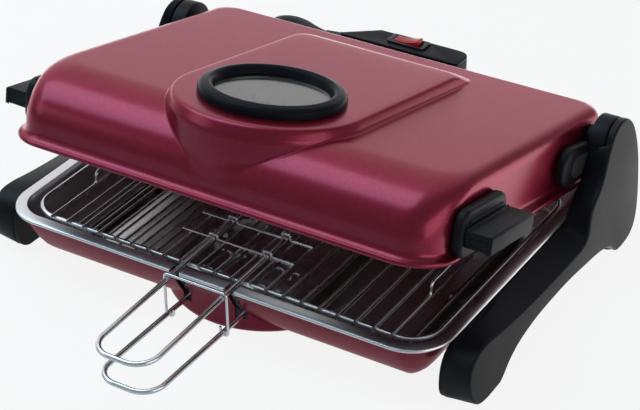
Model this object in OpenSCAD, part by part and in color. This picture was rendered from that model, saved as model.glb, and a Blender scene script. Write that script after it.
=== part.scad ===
// Electric indoor grill: a pressed lid with a window, a wire basket with two
// handles, a drip tray in a deep pan, and plastic side panels that carry the hinge.
// Millimetres. X points right, Y points to the rear and Z points up. The modules
// place everything from the centre of the drip tray, on the table; the list at the
// end moves it rearwards, so that the origin is under the middle of the whole depth.

/* [Drip tray and pan] */
// Width over the rim of the drip tray
tray_w = 380; // [360:1:400]
// Depth over the rim of the drip tray
tray_d = 296; // [284:1:310]
// Height of the rim above the table
rim_z = 50; // [49:0.5:54]
// Plan radius of the corners of the rim
rim_corner = 34; // [34:1:44]
// Width of the flat flange of the tray
flange_w = 8; // [6:0.5:10]
// Diameter of the rolled edge of the flange
bead_d = 3; // [2.4:0.1:3.4]
// Sheet thickness of the tray
tray_t = 0.8; // [0.6:0.1:1]
// Sheet thickness of the pan
pan_t = 1.2; // [0.8:0.1:1.4]
// Radius of the round sump under the front of the pan
sump_r = 79.5; // [70:0.5:84]
// Distance of the sump's centre behind the front rim
sump_in = 91; // [86:1:98]

/* [Side panels] */
// Width from the rim of the tray to the outer face of a panel, at the table
panel_out = 24.3; // [22:0.1:28]
// Inward lean of the outer face, per millimetre of height
panel_lean = 0.05; // [0:0.01:0.08]
// Wall of the moulded panels
panel_wall = 2.8; // [2.2:0.1:3.4]
// Height of the crease along the top of a panel
crease_z = 39; // [37:0.5:41]
// Thickness of the plate between a panel and the pan
plate_t = 3; // [2:0.1:3]
// Height of a rubber foot under the panel
foot_h = 1.6; // [1:0.1:3]
// Diameter of a rubber foot
foot_d = 17; // [12:0.5:20]

/* [Hinge] */
// Distance of the hinge axis in front of the rear rim
hinge_in = 29; // [26:0.5:32]
// Height of the hinge axis above the rim of the tray
hinge_up = 41; // [40:0.5:46]
// Radius of the round top of a panel
pillar_r = 22; // [20:0.5:24]
// Diameter of a hinge pin
pin_d = 8; // [6:0.5:9]
// Wall of a hinge bush
bush_t = 1.5; // [1:0.1:2]
// Angle by which the lid stands open
lid_open = 12.5; // [0:0.5:60]

/* [Lid] */
// Distance of the lid's flange inside the side rims of the tray
lid_in = 4; // [4:0.5:10]
// Distance of the front of the lid's flange behind the front rim
lid_front_in = 8; // [6:1:14]
// Height of the closed lid's edge above the rim of the tray
lid_gap = 6; // [5.5:0.1:8]
// Height of the pressed lid from its edge to its flat top
lid_h = 54; // [50:0.5:60]
// Sheet thickness of the lid
lid_t = 1.4; // [1:0.1:1.6]
// Width of the flange along the lid's edge
lid_flange = 6; // [4:0.5:7]
// Height of the raised middle above the flat top
plateau_h = 8; // [6:0.5:10]
// Half of the width of the raised middle, and radius of its round front
plateau_r = 74; // [66:1:78]

/* [Window] */
// Outer radius of the window's ring
bezel_r = 55.5; // [54:0.5:60]
// Radius of the opening in the window's ring
window_r = 43; // [38:0.5:44]
// Height of the window's ring above the lid
bezel_h = 9; // [7:0.5:11]
// Thickness of the glass
glass_t = 3; // [2:0.1:4]

/* [Grips] */
// Length of a grip along the lid
grip_l = 65; // [50:1:75]
// Reach of a grip from its base
grip_out = 21; // [14:0.5:22]
// Height of the outer face of a grip
grip_lip = 13; // [10:0.5:15]
// Length of the base of a grip
grip_base_l = 68; // [64:1:84]

/* [Basket] */
// Distance of the upper frame's side wires inside the side rims
basket_in = 15.2; // [14:0.2:25]
// Distance of the upper frame's front wire behind the front rim
basket_front_in = 20; // [18:0.5:28]
// Distance of the rear wires in front of the rear rim
basket_rear_in = 46; // [45:0.5:58]
// Diameter of the frame wires and the handles
frame_d = 4; // [3:0.1:4.2]
// Diameter of the grid rods
rod_d = 2.2; // [1.8:0.1:2.6]
// Number of grid rods on each side of the middle one
rods_half = 10; // [6:1:10]
// Spacing of the grid rods
rod_pitch = 15; // [14.6:0.1:15.4]
// Drop of the upper frame's wire below the rim of the tray
upper_drop = 5.3; // [5:0.1:7]
// Drop of the lower frame's wire below the rim of the tray
lower_drop = 23; // [21:0.5:24]

/* [Handles] */
// Spacing of the two legs of a handle
handle_w = 48; // [46:1:50]
// Reach of the upper handle in front of the rim
upper_out = 102; // [82:1:132]
// Reach of the lower handle in front of the rim
lower_out = 98; // [82:1:132]
// Downward slope of the upper handle, in degrees
upper_slope = 2; // [1.6:0.1:2.4]
// Drop of the lower handle below the lower frame's wire
lower_handle_drop = 8.5; // [8:0.1:9]
// Distance of the locking bail in front of the rim
bail_out = 7; // [5:0.5:12]
// Diameter of the wire of the bail and of the guides
bail_d = 2; // [1.6:0.1:2.2]

/* [Heater] */
// Diameter of the heating element
heater_d = 7; // [6:0.5:8]
// Height of the element's axis above the table
heater_z = 13.5; // [13:0.1:14.4]
// Bend radius of the element
heater_bend = 14; // [12:1:20]

/* [Control housing] */
// Height of the housing's top above the table
box_top = 95; // [92:0.5:98]
// Distance of the housing's front behind the rear rim
box_back = 17; // [14:0.5:20]
// Depth of the housing, front to rear
box_d = 23; // [22.5:0.5:26]
// Wall of the housing
box_wall = 2.5; // [2:0.1:3]
// Thickness of the housing's cover
cover_t = 3; // [2.4:0.1:4]
// Length of the rocker
rocker_l = 25; // [22:0.5:27]
// Width of the rocker
rocker_w = 10; // [9:0.5:10.5]
// Tilt of the rocker in its present position, in degrees
rocker_tilt = 8; // [4:0.5:10]
// Diameter of the mains cord
cord_d = 7; // [6:0.5:7.5]

/* [Hidden] */
$fn = 48;
// Distance from the middle of the whole depth to the tray's centre
origin_back = 32;
// Gap between bodies that move past each other
run_gap = 0.35;
// Gap between fixed pieces that lie against each other
seat_gap = 0.05;
// Radial play of a shaft in its bore
shaft_play = 0.05;

rim_hw = tray_w / 2;
rim_hd = tray_d / 2;
hinge_y = rim_hd - hinge_in;
hinge_z = rim_z + hinge_up;
sump_front = rim_hd - sump_in;
lid_w = tray_w - 2 * lid_in;
lid_front = rim_hd - lid_front_in;
basket_hw = rim_hw - basket_in;
basket_front = rim_hd - basket_front_in;
basket_rear = rim_hd - basket_rear_in;
upper_reach = rim_hd + upper_out;
lower_reach = rim_hd + lower_out;
bail_front = rim_hd + bail_out;

// The pan's rim lies under the tray's flange, inside the rolled edge.
pan_in = bead_d + 0.5;
pan_hw = rim_hw - pan_in;
pan_hd = rim_hd - pan_in;
pan_corner = rim_corner - pan_in;
pan_top = rim_z - tray_t - seat_gap;
pan_floor = 6;
sump_floor = 2.5;
// Outer profile of the pan: inset from its rim, and height
pan_shape = [
    [0, pan_top], [0.5, rim_z - 4], [4.5, rim_z - 14], [10.5, rim_z - 25], [15.5, rim_z - 32],
    [19.5, rim_z - 36], [24, rim_z - 40], [28, pan_floor + 1.2], [pan_corner, pan_floor]
];
// Sideways room between the pan's wall and the tray's wall
nest_gap = 1.5;
tray_floor = pan_floor + pan_t + 0.8;
well_r = sump_r - pan_t - 4;
well_floor = sump_floor + pan_t + 0.6;
tray_in = pan_in + pan_t + nest_gap;
// Outer profile of the tray below its flange: inset from its rim, and height
tray_shape = [
    [flange_w, rim_z - tray_t], [flange_w + 0.6, rim_z - 4], [tray_in + 5.3, rim_z - 14],
    [tray_in + 11.3, rim_z - 25], [tray_in + 16.3, rim_z - 32], [tray_in + 20.6, rim_z - 36],
    [tray_in + 24.3, rim_z - 39.5], [rim_corner, tray_floor]
];
slot_w = frame_d + 5;
notch_w = 40;
notch_z = rim_z - 17;

// Front and rear reference lines of a side panel's outline
panel_front = -rim_hd + 16.5;
panel_foot_y = [-rim_hd + 45, hinge_y];
plate_out = rim_hw + 0.5;
plate_in = plate_out - plate_t;
pillar_in = rim_hw + 5.5;
plate_top = rim_z - bead_d - 0.6;
foot_x = rim_hw + panel_out / 2;
stud_d = 4;
stud_y = [-85, -5, 75];
stud_z = rim_z - 20;
boss_d = 12;
nut_w = 7;
nut_h = 3;

arm_in = lid_w / 2 - lid_flange + 0.3;
arm_pad_out = arm_in + 8;
arm_out = pillar_in - 0.8;
pin_head_d = pin_d + 5;
pin_head_h = 1.8;
pin_end = pillar_in + 11;
bush_d = pin_d + 2 * shaft_play + 2 * bush_t;
bush_from = arm_in + 0.7 + pin_head_h + run_gap;

lid_edge = rim_z + lid_gap;
lid_top = lid_edge + lid_h;
lid_hw = lid_w / 2;
lid_rear = rim_hd - 1;
lid_rear_edge = hinge_z - 27;
lid_side_x = lid_hw - lid_flange;
lid_corner = 16;
plateau_top = lid_top + plateau_h;
plateau_y = -lid_front + 8 + plateau_r;
plateau_rear = 100;
plateau_foot = 122;

glass_r = window_r + 4.5;
hole_r = glass_r + 1;
gasket_h = 1.2;
clamp_t = 1.6;
clamp_top = plateau_top - lid_t - seat_gap;
gasket_z = clamp_top + seat_gap;
glass_z = gasket_z + gasket_h + seat_gap;
clamp_screw_r = (hole_r + bezel_r) / 2 - 0.3;
clamp_screws_n = 6;

grip_y = -72;
grip_base_y = -74;
grip_base_h = 36;
grip_z = lid_edge + 25.5;
grip_base_out = lid_hw + 3;
grip_screw_y = [grip_base_y - 20, grip_base_y + 20];
grip_screw_z = lid_edge + 20;
arm_screw_y = [hinge_y - 45, hinge_y - 19];
arm_screw_z = lid_edge + 20;
screw_d = 3.5;

upper_z = rim_z - upper_drop;
lower_z = rim_z - lower_drop;
upper_rod_z = upper_z + (frame_d + rod_d) / 2 + seat_gap;
lower_rod_z = lower_z - (frame_d + rod_d) / 2 - seat_gap;
rod_end = frame_d / 2 + 1.5;
// The lower frame rests against the sloping walls of the tray.
lower_in = basket_hw - 4.8;
lower_front = basket_front - 4.5;
frame_corner = 24;
leg_x = handle_w / 2;
leg_rear = 57;
leg_over = upper_z + frame_d + run_gap;
lower_leg_z = lower_z - lower_handle_drop;
slot_bottom = lower_leg_z - frame_d / 2 - 0.3;
guide_y = [-70, -96];
guide_hw = [52, 47];

// Height of the upper handle's axis over a given Y
function upper_leg_z(y) = leg_over + tan(upper_slope) * (y + basket_front);

heater_leg_x = 12;
heater_riser_y = basket_rear + 8.5;
heater_back_y = 84;
heater_out_x = 145;
heater_front_y = -104;
heater_mid_x = 58;
heater_mid_y = 52;
heater_exit_z = rim_z - 9;

box_front = rim_hd + box_back;
box_rear = box_front + box_d;
box_floor = 34;
box_neck_w = notch_w - 2;
flange_y = rim_hd - 1;
leg_end = box_front + 6;
box_x = [-45, 41];
wing_x = -72;
wing_floor = box_top - 19;
cover_z = box_top - cover_t;
post_x = [box_x[0] + 8, box_x[1] - 8];
post_y = box_front + 6;
post_top = cover_z - 6;
nose_x = -73;
nose_z = box_top - 8;
nose_d = 13;
rocker_x = -13;
lead_d = 2.2;
rocker_y = box_rear - 9;
switch_l = rocker_l + 10;
switch_w = rocker_w + 4.6;
axle_d = 2.4;
axle_z = box_top - 1.5;
fuse_at = [13, rocker_y, box_floor + 28];
relief_l = 17;
// Length of the cord inside the nose
cord_in = 12;
cord_y = box_front + 8;

// The cord's visible bend and its drop behind the grill
cord_route = [
    [-92, 173, 85], [-104, 176, 85.5], [-118, 182, 85], [-134, 186, 83], [-149, 190, 77], [-158, 197, 68],
    [-163, 206, 54], [-163, 218, 38], [-157, 233, 22], [-146, 248, 12], [-128, 262, 7], [-106, 266.5, 5]
];
coil_at = [-106, 217];
coil_r = 38;
coil_w = 15;
coil_h = 21.2;
plug_route = [[-129, 173.4, 7.8], [-135, 173.8, 7.7], [-141, 174.6, 7.8], [-150, 176.5, 8]];
plug_at = [-150.4, 176.6, 8];
plug_turn = 168;

BLACK = "#24262a";
DARK = "#4b4848";
WINE = "#7a1230";
WIRE = "#d5d5da";

function unit(v) = v / norm(v);

// Points along a circle, without the last one
function arc(c, r, from, to, n = 8) =
    [for (i = [0:n - 1]) let (a = from + (to - from) * i / n) c + r * [cos(a), sin(a)]];

// Points along a cubic curve, without the last one
function curve(a, b, c, d, n = 8) =
    [for (i = [0:n - 1]) let (t = i / n, s = 1 - t)
        s * s * s * a + 3 * s * s * t * b + 3 * s * t * t * c + t * t * t * d];

// Frame of axes with its Z along a direction
function axes(z, at) =
    let (side = abs(z.z) > 0.9 ? [1, 0, 0] : [0, 0, 1], x = unit(cross(side, z)), y = cross(z, x))
    [[x.x, y.x, z.x, at.x], [x.y, y.y, z.y, at.y], [x.z, y.z, z.z, at.z], [0, 0, 0, 1]];

// A straight round bar between two points
module bar(a, b, d) multmatrix(axes(unit(b - a), a)) cylinder(d = d, h = norm(b - a));

// A round wire along points, bent at each corner with that corner's radius
module wire(points, d, bends, closed = false) {
    n = len(points);
    function p(i) = points[(i + n) % n];
    function run(i) = unit(p(i + 1) - p(i));
    function inner(i) = closed || (i > 0 && i < n - 1);
    function turn(i) = inner(i) ? acos(max(-1, min(1, run(i - 1) * run(i)))) : 0;
    function bend(i) = is_list(bends) ? bends[(i + n) % n] : bends;
    function cut(i) = bend(i) * tan(turn((i + n) % n) / 2);
    for (i = [0:closed ? n - 1 : n - 2])
        bar(p(i) + run(i) * cut(i), p(i + 1) - run(i) * cut(i + 1), d);
    for (i = [0:n - 1]) if (inner(i) && turn(i) > 0.01) {
        u = run(i - 1);
        out = unit(u - run(i));
        centre = p(i) - out * bend(i) / cos(turn(i) / 2);
        start = unit(p(i) - u * cut(i) - centre);
        up = cross(start, u);
        multmatrix([
            [start.x, u.x, up.x, centre.x], [start.y, u.y, up.y, centre.y],
            [start.z, u.z, up.z, centre.z], [0, 0, 0, 1]
        ]) rotate_extrude(angle = turn(i)) translate([bend(i), 0]) circle(d = d);
    }
}

// A rectangle with round corners
module round_rect(w, d, r) {
    square([w - 2 * r, d], center = true);
    square([w, d - 2 * r], center = true);
    for (x = [-1, 1], y = [-1, 1]) translate([x * (w / 2 - r), y * (d / 2 - r)]) circle(r);
}

// A rectangular dish as a solid: its wall profile swept along sides and corners
module dish(hw, hd, corner, shape) {
    last = shape[len(shape) - 1];
    top = shape[0].y;
    module section(half) polygon(concat(
        [for (s = shape) [half - s.x, s.y]],
        [for (i = [len(shape) - 1:-1:0]) [shape[i].x - half, shape[i].y]]));
    rotate([90, 0, 0]) linear_extrude(2 * (hd - corner), center = true) section(hw);
    rotate([90, 0, 90]) linear_extrude(2 * (hw - corner), center = true) section(hd);
    for (a = [0:90:270]) {
        at = [[1, 1], [-1, 1], [-1, -1], [1, -1]][a / 90];
        translate([at.x * (hw - corner), at.y * (hd - corner)]) rotate(a) rotate_extrude(angle = 90)
            polygon(concat([[0, last.y], [0, top]], [for (s = shape) if (s.x < corner) [corner - s.x, s.y]]));
    }
}

// The same profile moved inwards by the sheet's thickness, open at the top
function shell_of(shape, t, lift) = concat(
    [[shape[0].x + t, shape[0].y + lift]],
    [for (i = [1:len(shape) - 2]) [shape[i].x + t, shape[i].y + t * 0.35]],
    [[shape[len(shape) - 1].x, shape[len(shape) - 1].y + t]]);

module base_pan() color(WINE) {
    difference() {
        union() {
            dish(pan_hw, pan_hd, pan_corner, pan_shape);
            translate([0, -sump_front]) rotate_extrude($fn = 96) polygon(concat(
                [[0, sump_floor], [sump_r - 7, sump_floor]],
                arc([sump_r - 7, sump_floor + 7], 7, -90, 0, 6),
                [[sump_r, sump_floor + 7], [sump_r, rim_z - 16], [0, rim_z - 16]]));
        }
        dish(pan_hw, pan_hd, pan_corner, shell_of(pan_shape, pan_t, 1));
        translate([0, -sump_front]) rotate_extrude($fn = 96) polygon(concat(
            [[0, sump_floor + pan_t], [sump_r - 7, sump_floor + pan_t]],
            arc([sump_r - 7, sump_floor + 7], 7 - pan_t, -90, 0, 6),
            [[sump_r - pan_t, sump_floor + 7], [sump_r - pan_t, rim_z - 15], [0, rim_z - 15]]));
        handle_slots();
        element_notch();
    }
    for (s = [-1, 1], y = stud_y) translate([s * (pan_hw - 8.2), y, stud_z]) rotate([0, s * 90, 0])
        cylinder(d = stud_d, h = plate_out + nut_h + 2 - (pan_hw - 8.2));
}

// Slots for the legs of both handles in the front walls
module handle_slots() for (s = [-1, 1])
    translate([s * leg_x - slot_w / 2, -rim_hd - 5, slot_bottom]) cube([slot_w, 40, rim_z]);

// Opening for the element's legs in the rear walls
module element_notch() translate([-notch_w / 2, rim_hd - 30, notch_z]) cube([notch_w, 40, rim_z]);

module drip_tray() color("#cfccd2") difference() {
    union() {
        dish(rim_hw, rim_hd, rim_corner, concat(
            [[bead_d / 2, rim_z]],
            [for (a = [45:45:315]) [bead_d / 2 * (1 - cos(a - 90)), rim_z - bead_d / 2 * (1 + sin(a - 90))]],
            [[bead_d, rim_z - tray_t]], tray_shape));
        translate([0, -sump_front, well_floor]) cylinder(r = well_r, h = tray_floor - well_floor + 0.4, $fn = 96);
    }
    dish(rim_hw, rim_hd, rim_corner, shell_of(tray_shape, tray_t, 2));
    translate([0, -sump_front, well_floor + tray_t])
        cylinder(r = well_r - tray_t, h = tray_floor - well_floor + 2, $fn = 96);
    handle_slots();
    element_notch();
}

// Side view of a panel: foot, arch, heel, round pillar top, sloping front, beam
function panel_outline() = let (
        f = panel_front, h = hinge_y, b = foot_h, c = crease_z, arch = (-rim_hd + 55 + h - 6) / 2,
        sill = rim_z - bead_d + 0.4, tangent = 131, centre = [h, hinge_z],
        top = centre + pillar_r * [cos(tangent), sin(tangent)],
        lean = [-cos(tangent - 90), -sin(tangent - 90)]
    ) concat(
        curve([f + 39, b], [f + 48, b + 14], [f + 82, 17], [arch, 20]),
        curve([arch, 20], [h - 68, 20], [h - 19, 19], [h - 8, b]),
        [[h - 8, b]],
        curve([h + 11, b], [h + 23, b], [h + 28, 10], [h + 29.5, 35]),
        curve([h + 29.5, 35], [h + 31, 60], [h + pillar_r + 4, hinge_z - 14], [h + pillar_r, hinge_z]),
        arc(centre, pillar_r, 0, tangent, 14),
        [top],
        curve(top + 33 * lean, top + 51 * lean, [h - 61, rim_z + 13], [h - 61, sill], 8),
        [[h - 61, sill]],
        curve([f + 31, sill], [f + 9, sill], [f, c + 1], [f, 20]),
        curve([f, 20], [f, 8], [f + 7, b], [f + 18, b])
    );

// Sets a side view in (Y, Z) upright and thickens it along X from one value to another
module along_x(from, to) translate([from, 0, 0]) rotate([90, 0, 90]) linear_extrude(to - from) children();

// Everything outside the leaning outer face of a panel, moved inwards by a wall
module outside_lean(wall) translate([rim_hw + panel_out - wall, -rim_hd - 50, 0])
    rotate([0, -atan(panel_lean), 0]) translate([0, 0, -20]) cube([60, tray_d + 120, hinge_z + 80]);

// Everything above the sloping top of the beam in front of the pillar
module above_beam(wall) rotate([90, 0, 0]) translate([0, 0, -(hinge_y - 61)]) linear_extrude(tray_d)
    polygon([
        [plate_in - 5, rim_z - bead_d + 0.4 - wall], [plate_out, rim_z - bead_d + 0.4 - wall],
        [rim_hw + panel_out + 5, crease_z - 2.3 - wall], [rim_hw + panel_out + 5, hinge_z],
        [plate_in - 5, hinge_z]
    ]);

module side_panel() color(DARK) difference() {
    along_x(plate_out + seat_gap, rim_hw + panel_out + 2) polygon(panel_outline());
    outside_lean(0);
    above_beam(0);
    // Step that clears the tray's rim and the lid's hinge arm
    translate([plate_in, hinge_y - 62, rim_z - bead_d]) cube([pillar_in - plate_in, 120, hinge_z]);
    // Hollow behind the plate
    difference() {
        along_x(plate_out, rim_hw + panel_out) offset(delta = -panel_wall) polygon(panel_outline());
        outside_lean(panel_wall);
        above_beam(panel_wall);
        translate([plate_in, -rim_hd, rim_z - 8]) cube([40, tray_d + 20, hinge_z]);
        for (y = panel_foot_y) translate([plate_in, y - 6, 0]) cube([40, 12, 16]);
    }
    translate([pillar_in - 1, hinge_y, hinge_z]) rotate([0, 90, 0])
        cylinder(d = pin_d + 0.04, h = pin_end - pillar_in + 1.5);
    for (y = panel_foot_y) translate([foot_x, y, 0]) cylinder(d = 6.1, h = foot_h + 6.2);
}

// Plate that closes a panel and stands the pan's wall off on three bosses
module side_inner() color(BLACK) difference() {
    union() {
        intersection() {
            along_x(plate_in, plate_out) offset(delta = -0.3) polygon(panel_outline());
            translate([plate_in - 1, -rim_hd - 10, 0]) cube([plate_t + 2, tray_d + 40, plate_top]);
        }
        for (y = stud_y) translate([pan_hw - 14, y, stud_z]) rotate([0, 90, 0])
            cylinder(d = boss_d, h = plate_in - pan_hw + 14.5);
    }
    // The bosses end on the slope of the pan's wall
    rotate([90, 0, 0]) linear_extrude(tray_d, center = true)
        polygon(concat([[pan_hw - 60, pan_top], [pan_hw - 60, pan_floor]],
            [for (i = [len(pan_shape) - 1:-1:0]) [pan_hw - pan_shape[i].x + 0.2, pan_shape[i].y]]));
    for (y = stud_y) translate([pan_hw - 20, y, stud_z]) rotate([0, 90, 0])
        cylinder(d = stud_d + 0.4, h = plate_out - pan_hw + 25);
}

module both(side) {
    if (side < 0) mirror([1, 0, 0]) children();
    else children();
}
module each_side() for (side = [-1, 1]) both(side) children();

module side_panel_left() both(-1) side_panel();
module side_panel_right() side_panel();
module side_inner_left() both(-1) side_inner();
module side_inner_right() side_inner();

module rubber_feet() color(BLACK) each_side() for (y = panel_foot_y) translate([foot_x, y, 0]) {
    cylinder(d = foot_d, h = foot_h - seat_gap);
    cylinder(d = 6, h = foot_h + 5.5);
}

module panel_nuts() color("#b8b8bc") each_side() for (y = stud_y)
    translate([plate_out + seat_gap, y, stud_z]) rotate([0, 90, 0]) difference() {
        cylinder(d = nut_w / cos(30), h = nut_h, $fn = 6);
        translate([0, 0, -1]) cylinder(d = stud_d + 0.1, h = nut_h + 2);
    }

// Turns a child to the opening of the lid
module on_lid() translate([0, hinge_y, hinge_z]) rotate([-lid_open, 0, 0])
    translate([0, -hinge_y, -hinge_z]) children();

module hinge_pin() color("#b8b8bc") translate([0, hinge_y, hinge_z]) rotate([0, 90, 0]) {
    translate([0, 0, arm_in + 0.7]) cylinder(d = pin_head_d, h = pin_head_h);
    translate([0, 0, arm_in + 0.7]) cylinder(d = pin_d, h = pin_end - arm_in - 0.7);
}
module hinge_pin_left() both(-1) hinge_pin();
module hinge_pin_right() hinge_pin();

module hinge_bush() color("#c9a15a") translate([bush_from, hinge_y, hinge_z]) rotate([0, 90, 0]) difference() {
    cylinder(d = bush_d, h = arm_out - bush_from - 0.1);
    translate([0, 0, -1]) cylinder(d = pin_d + 2 * shaft_play, h = arm_out - bush_from + 2);
}
module hinge_bush_left() both(-1) on_lid() hinge_bush();
module hinge_bush_right() on_lid() hinge_bush();

// Space of the lid's flange, which the pieces on the lid's side walls step over
module over_flange() translate([arm_in - 10, -rim_hd - 20, lid_edge - 20])
    cube([lid_flange + 10, tray_d + 60, 20 + 10.8]);

// Side view of the arm's pad
module arm_pad(grow) hull() {
    translate([hinge_y - 46, lid_edge + 21]) circle(17 + grow);
    translate([hinge_y - 20, lid_edge + 19]) circle(15 + grow);
}

// Arm that carries the lid: a pad on the lid's side and a round lobe at the hinge
module hinge_arm() color(BLACK) difference() {
    union() {
        // Pad with a bevelled border
        hull() {
            along_x(arm_in, arm_pad_out - 3) arm_pad(0);
            along_x(arm_in, arm_pad_out) arm_pad(-3);
        }
        along_x(arm_pad_out - 1, arm_pad_out + 1.6) hull() {
            translate([hinge_y - 37, lid_edge + 19]) circle(9.5);
            translate([hinge_y - 16, lid_edge + 18]) circle(9.5);
        }
        translate([arm_in, hinge_y, hinge_z]) rotate([0, 90, 0]) cylinder(r = pillar_r - 0.5, h = 4);
        translate([arm_in + 3, hinge_y, hinge_z]) rotate([0, 90, 0])
            cylinder(r = pillar_r - 2, h = arm_out - arm_in - 3);
    }
    over_flange();
    translate([arm_in - 1, hinge_y, hinge_z]) rotate([0, 90, 0]) {
        cylinder(d = bush_d + 0.04, h = arm_out - arm_in + 3);
        cylinder(d = pin_head_d + 1, h = 1 + 0.7 + pin_head_h + run_gap);
    }
    for (y = arm_screw_y) translate([arm_in - 1, y, arm_screw_z]) rotate([0, 90, 0])
        cylinder(d = screw_d + 0.1, h = 8);
}
module hinge_arm_left() both(-1) on_lid() hinge_arm();
module hinge_arm_right() on_lid() hinge_arm();

// Pan-head screw along X: head under the given wall face, shank outwards
module side_screw(y, z, length) translate([lid_side_x - lid_t - seat_gap, y, z]) rotate([0, 90, 0]) {
    translate([0, 0, -2]) cylinder(d = screw_d * 2, h = 2);
    cylinder(d = screw_d, h = length);
}
module arm_screws() color("#b8b8bc") on_lid() each_side()
    for (y = arm_screw_y) side_screw(y, arm_screw_z, 7.5);
module grip_screws() color("#b8b8bc") on_lid() each_side()
    for (y = grip_screw_y) side_screw(y, grip_screw_z, 8);

// Closed-lid ring at a height, moved inwards by a wall
function quarter(cx, cy, rx, ry, from, n = 6) =
    [for (i = [0:n]) let (a = from + 90 * i / n) [cx + rx * cos(a), cy + ry * sin(a)]];
function ring(z, hw, front, rear, fx, fy, r) = [for (p = concat(
    quarter(hw - fx, front + fy, fx, fy, -90), quarter(hw - r, rear - r, r, r, 0),
    quarter(r - hw, rear - r, r, r, 90), quarter(fx - hw, front + fy, fx, fy, 180))) [p.x, p.y, z]];
// Sideways retreat of a wall that rounds over an elliptic shoulder below the top
function retreat(z, across, down, top) =
    z > top - down ? across * (1 - sqrt(max(0, 1 - pow((z - top + down) / down, 2)))) : 0;
function flare(z) = lid_flange * min(1, max(0, (z - lid_edge - 5) / 4));
function lid_ring(z, wall) = let (
        top = lid_top - wall,
        over = retreat(z, 50, 38, top),
        in = flare(z)
    ) ring(z, lid_hw - in - wall - retreat(z, 18, 22, top), -lid_front + in * 0.9 + wall + over,
        lid_rear - wall - retreat(z, 14, 14, top), 34 - in - wall - over * 0.1, 36 - in - wall, lid_corner - wall);
lid_levels = [0, 5, 5.8, 7, 8.2, 9, 16, 22, 28, 33, 37.5, 41.5, 45, 48, 50.5, 52.5, 53.6, 54];
function lid_rings(wall, from) = concat(
    [for (z = [from]) lid_ring(lid_edge + z, wall)],
    [for (k = [1:len(lid_levels) - 1]) let (z = lid_levels[k] * (lid_h - wall) / 54) lid_ring(lid_edge + z, wall)]);

function plateau_ring(z, wall, grow, rear) = let (r = plateau_r + grow - wall, c = 10)
    [for (p = concat(
        [for (i = [0:24]) let (a = 180 + 180 * i / 24) [r * cos(a), plateau_y + r * sin(a)]],
        quarter(r - c, rear - wall - c, c, c, 0), quarter(c - r, rear - wall - c, c, c, 90))) [p.x, p.y, z]];
function plateau_rings(wall) = let (t = plateau_top - wall) [
    plateau_ring(lid_top - 26, wall, 1, plateau_foot), plateau_ring(lid_top - 1, wall, 4, plateau_foot),
    plateau_ring(t - plateau_h * 0.55, wall, 2.4, plateau_rear + 12), plateau_ring(t - 1.4, wall, 0.4, plateau_rear + 2),
    plateau_ring(t - 0.4, wall, -1, plateau_rear), plateau_ring(t, wall, -3, plateau_rear - 3)
];

// A stack of frusta, each the hull of two neighbouring rings
module loft(rings) {
    n = len(rings[0]);
    for (i = [0:len(rings) - 2])
        hull() polyhedron(concat(rings[i], rings[i + 1]), [[for (k = [0:2 * n - 1]) k]]);
}

module lid_shell() color(WINE) on_lid() difference() {
    union() {
        loft(lid_rings(0, 0));
        loft(plateau_rings(0));
    }
    loft(lid_rings(lid_t, -1));
    loft(plateau_rings(lid_t));
    translate([0, plateau_y, lid_top - 20]) cylinder(r = hole_r, h = 60, $fn = 96);
    // The rear edge is raised, so that it swings clear of the tray
    translate([-lid_w, hinge_y + 16, lid_edge - 5]) cube([2 * lid_w, 60, lid_rear_edge - lid_edge + 5]);
    each_side() {
        for (y = arm_screw_y) translate([lid_side_x - 6, y, arm_screw_z]) rotate([0, 90, 0])
            cylinder(d = screw_d + 0.4, h = 12);
        for (y = grip_screw_y) translate([lid_side_x - 6, y, grip_screw_z]) rotate([0, 90, 0])
            cylinder(d = screw_d + 0.4, h = 12);
    }
    for (a = [0:360 / clamp_screws_n:359]) translate([0, plateau_y]) rotate(a + 30)
        translate([clamp_screw_r, 0, lid_top - 20]) cylinder(d = 3, h = 60, $fn = 24);
}

module window_bezel() color(BLACK) on_lid() translate([0, plateau_y, plateau_top + seat_gap]) difference() {
    rotate_extrude($fn = 96) polygon(concat(
        [[window_r, 2.4], [glass_r + 0.3, 2.4], [glass_r + 0.3, 0], [bezel_r, 0]],
        arc([bezel_r - 5, bezel_h - 6], 5, 0, 90, 6), [[bezel_r - 5, bezel_h - 1]],
        curve([bezel_r - 5, bezel_h - 1], [bezel_r - 7, bezel_h], [window_r + 4, bezel_h], [window_r + 2, bezel_h - 2], 5),
        [[window_r + 2, bezel_h - 2]]));
    for (a = [0:360 / clamp_screws_n:359]) rotate(a + 30) translate([clamp_screw_r, 0, -1])
        cylinder(d = 2.6, h = 6.2, $fn = 24);
}

module window_glass() color("#6e7276", 0.6) on_lid() translate([0, plateau_y, glass_z])
    cylinder(r = glass_r, h = min(glass_t, plateau_top + 2.3 - glass_z), $fn = 96);

module ring_plate(outer, inner, h) difference() {
    cylinder(r = outer, h = h, $fn = 96);
    translate([0, 0, -1]) cylinder(r = inner, h = h + 2, $fn = 96);
}
module window_gasket() color("#3a3a3a") on_lid() translate([0, plateau_y, gasket_z])
    ring_plate(glass_r, window_r + 0.5, gasket_h);
module window_clamp() color("#a8a8ac") on_lid() translate([0, plateau_y, clamp_top - clamp_t]) difference() {
    ring_plate(bezel_r - 0.5, window_r + 0.5, clamp_t);
    for (a = [0:360 / clamp_screws_n:359]) rotate(a + 30) translate([clamp_screw_r, 0, -1])
        cylinder(d = 3, h = clamp_t + 2, $fn = 24);
}
module clamp_screws() color("#b8b8bc") on_lid() translate([0, plateau_y, clamp_top - clamp_t - seat_gap])
    for (a = [0:360 / clamp_screws_n:359]) rotate(a + 30) translate([clamp_screw_r, 0, 0]) {
        translate([0, 0, -1.8]) cylinder(d = 5, h = 1.8, $fn = 24);
        cylinder(d = 2.5, h = clamp_t + lid_t + 4.6, $fn = 24);
    }

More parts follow.
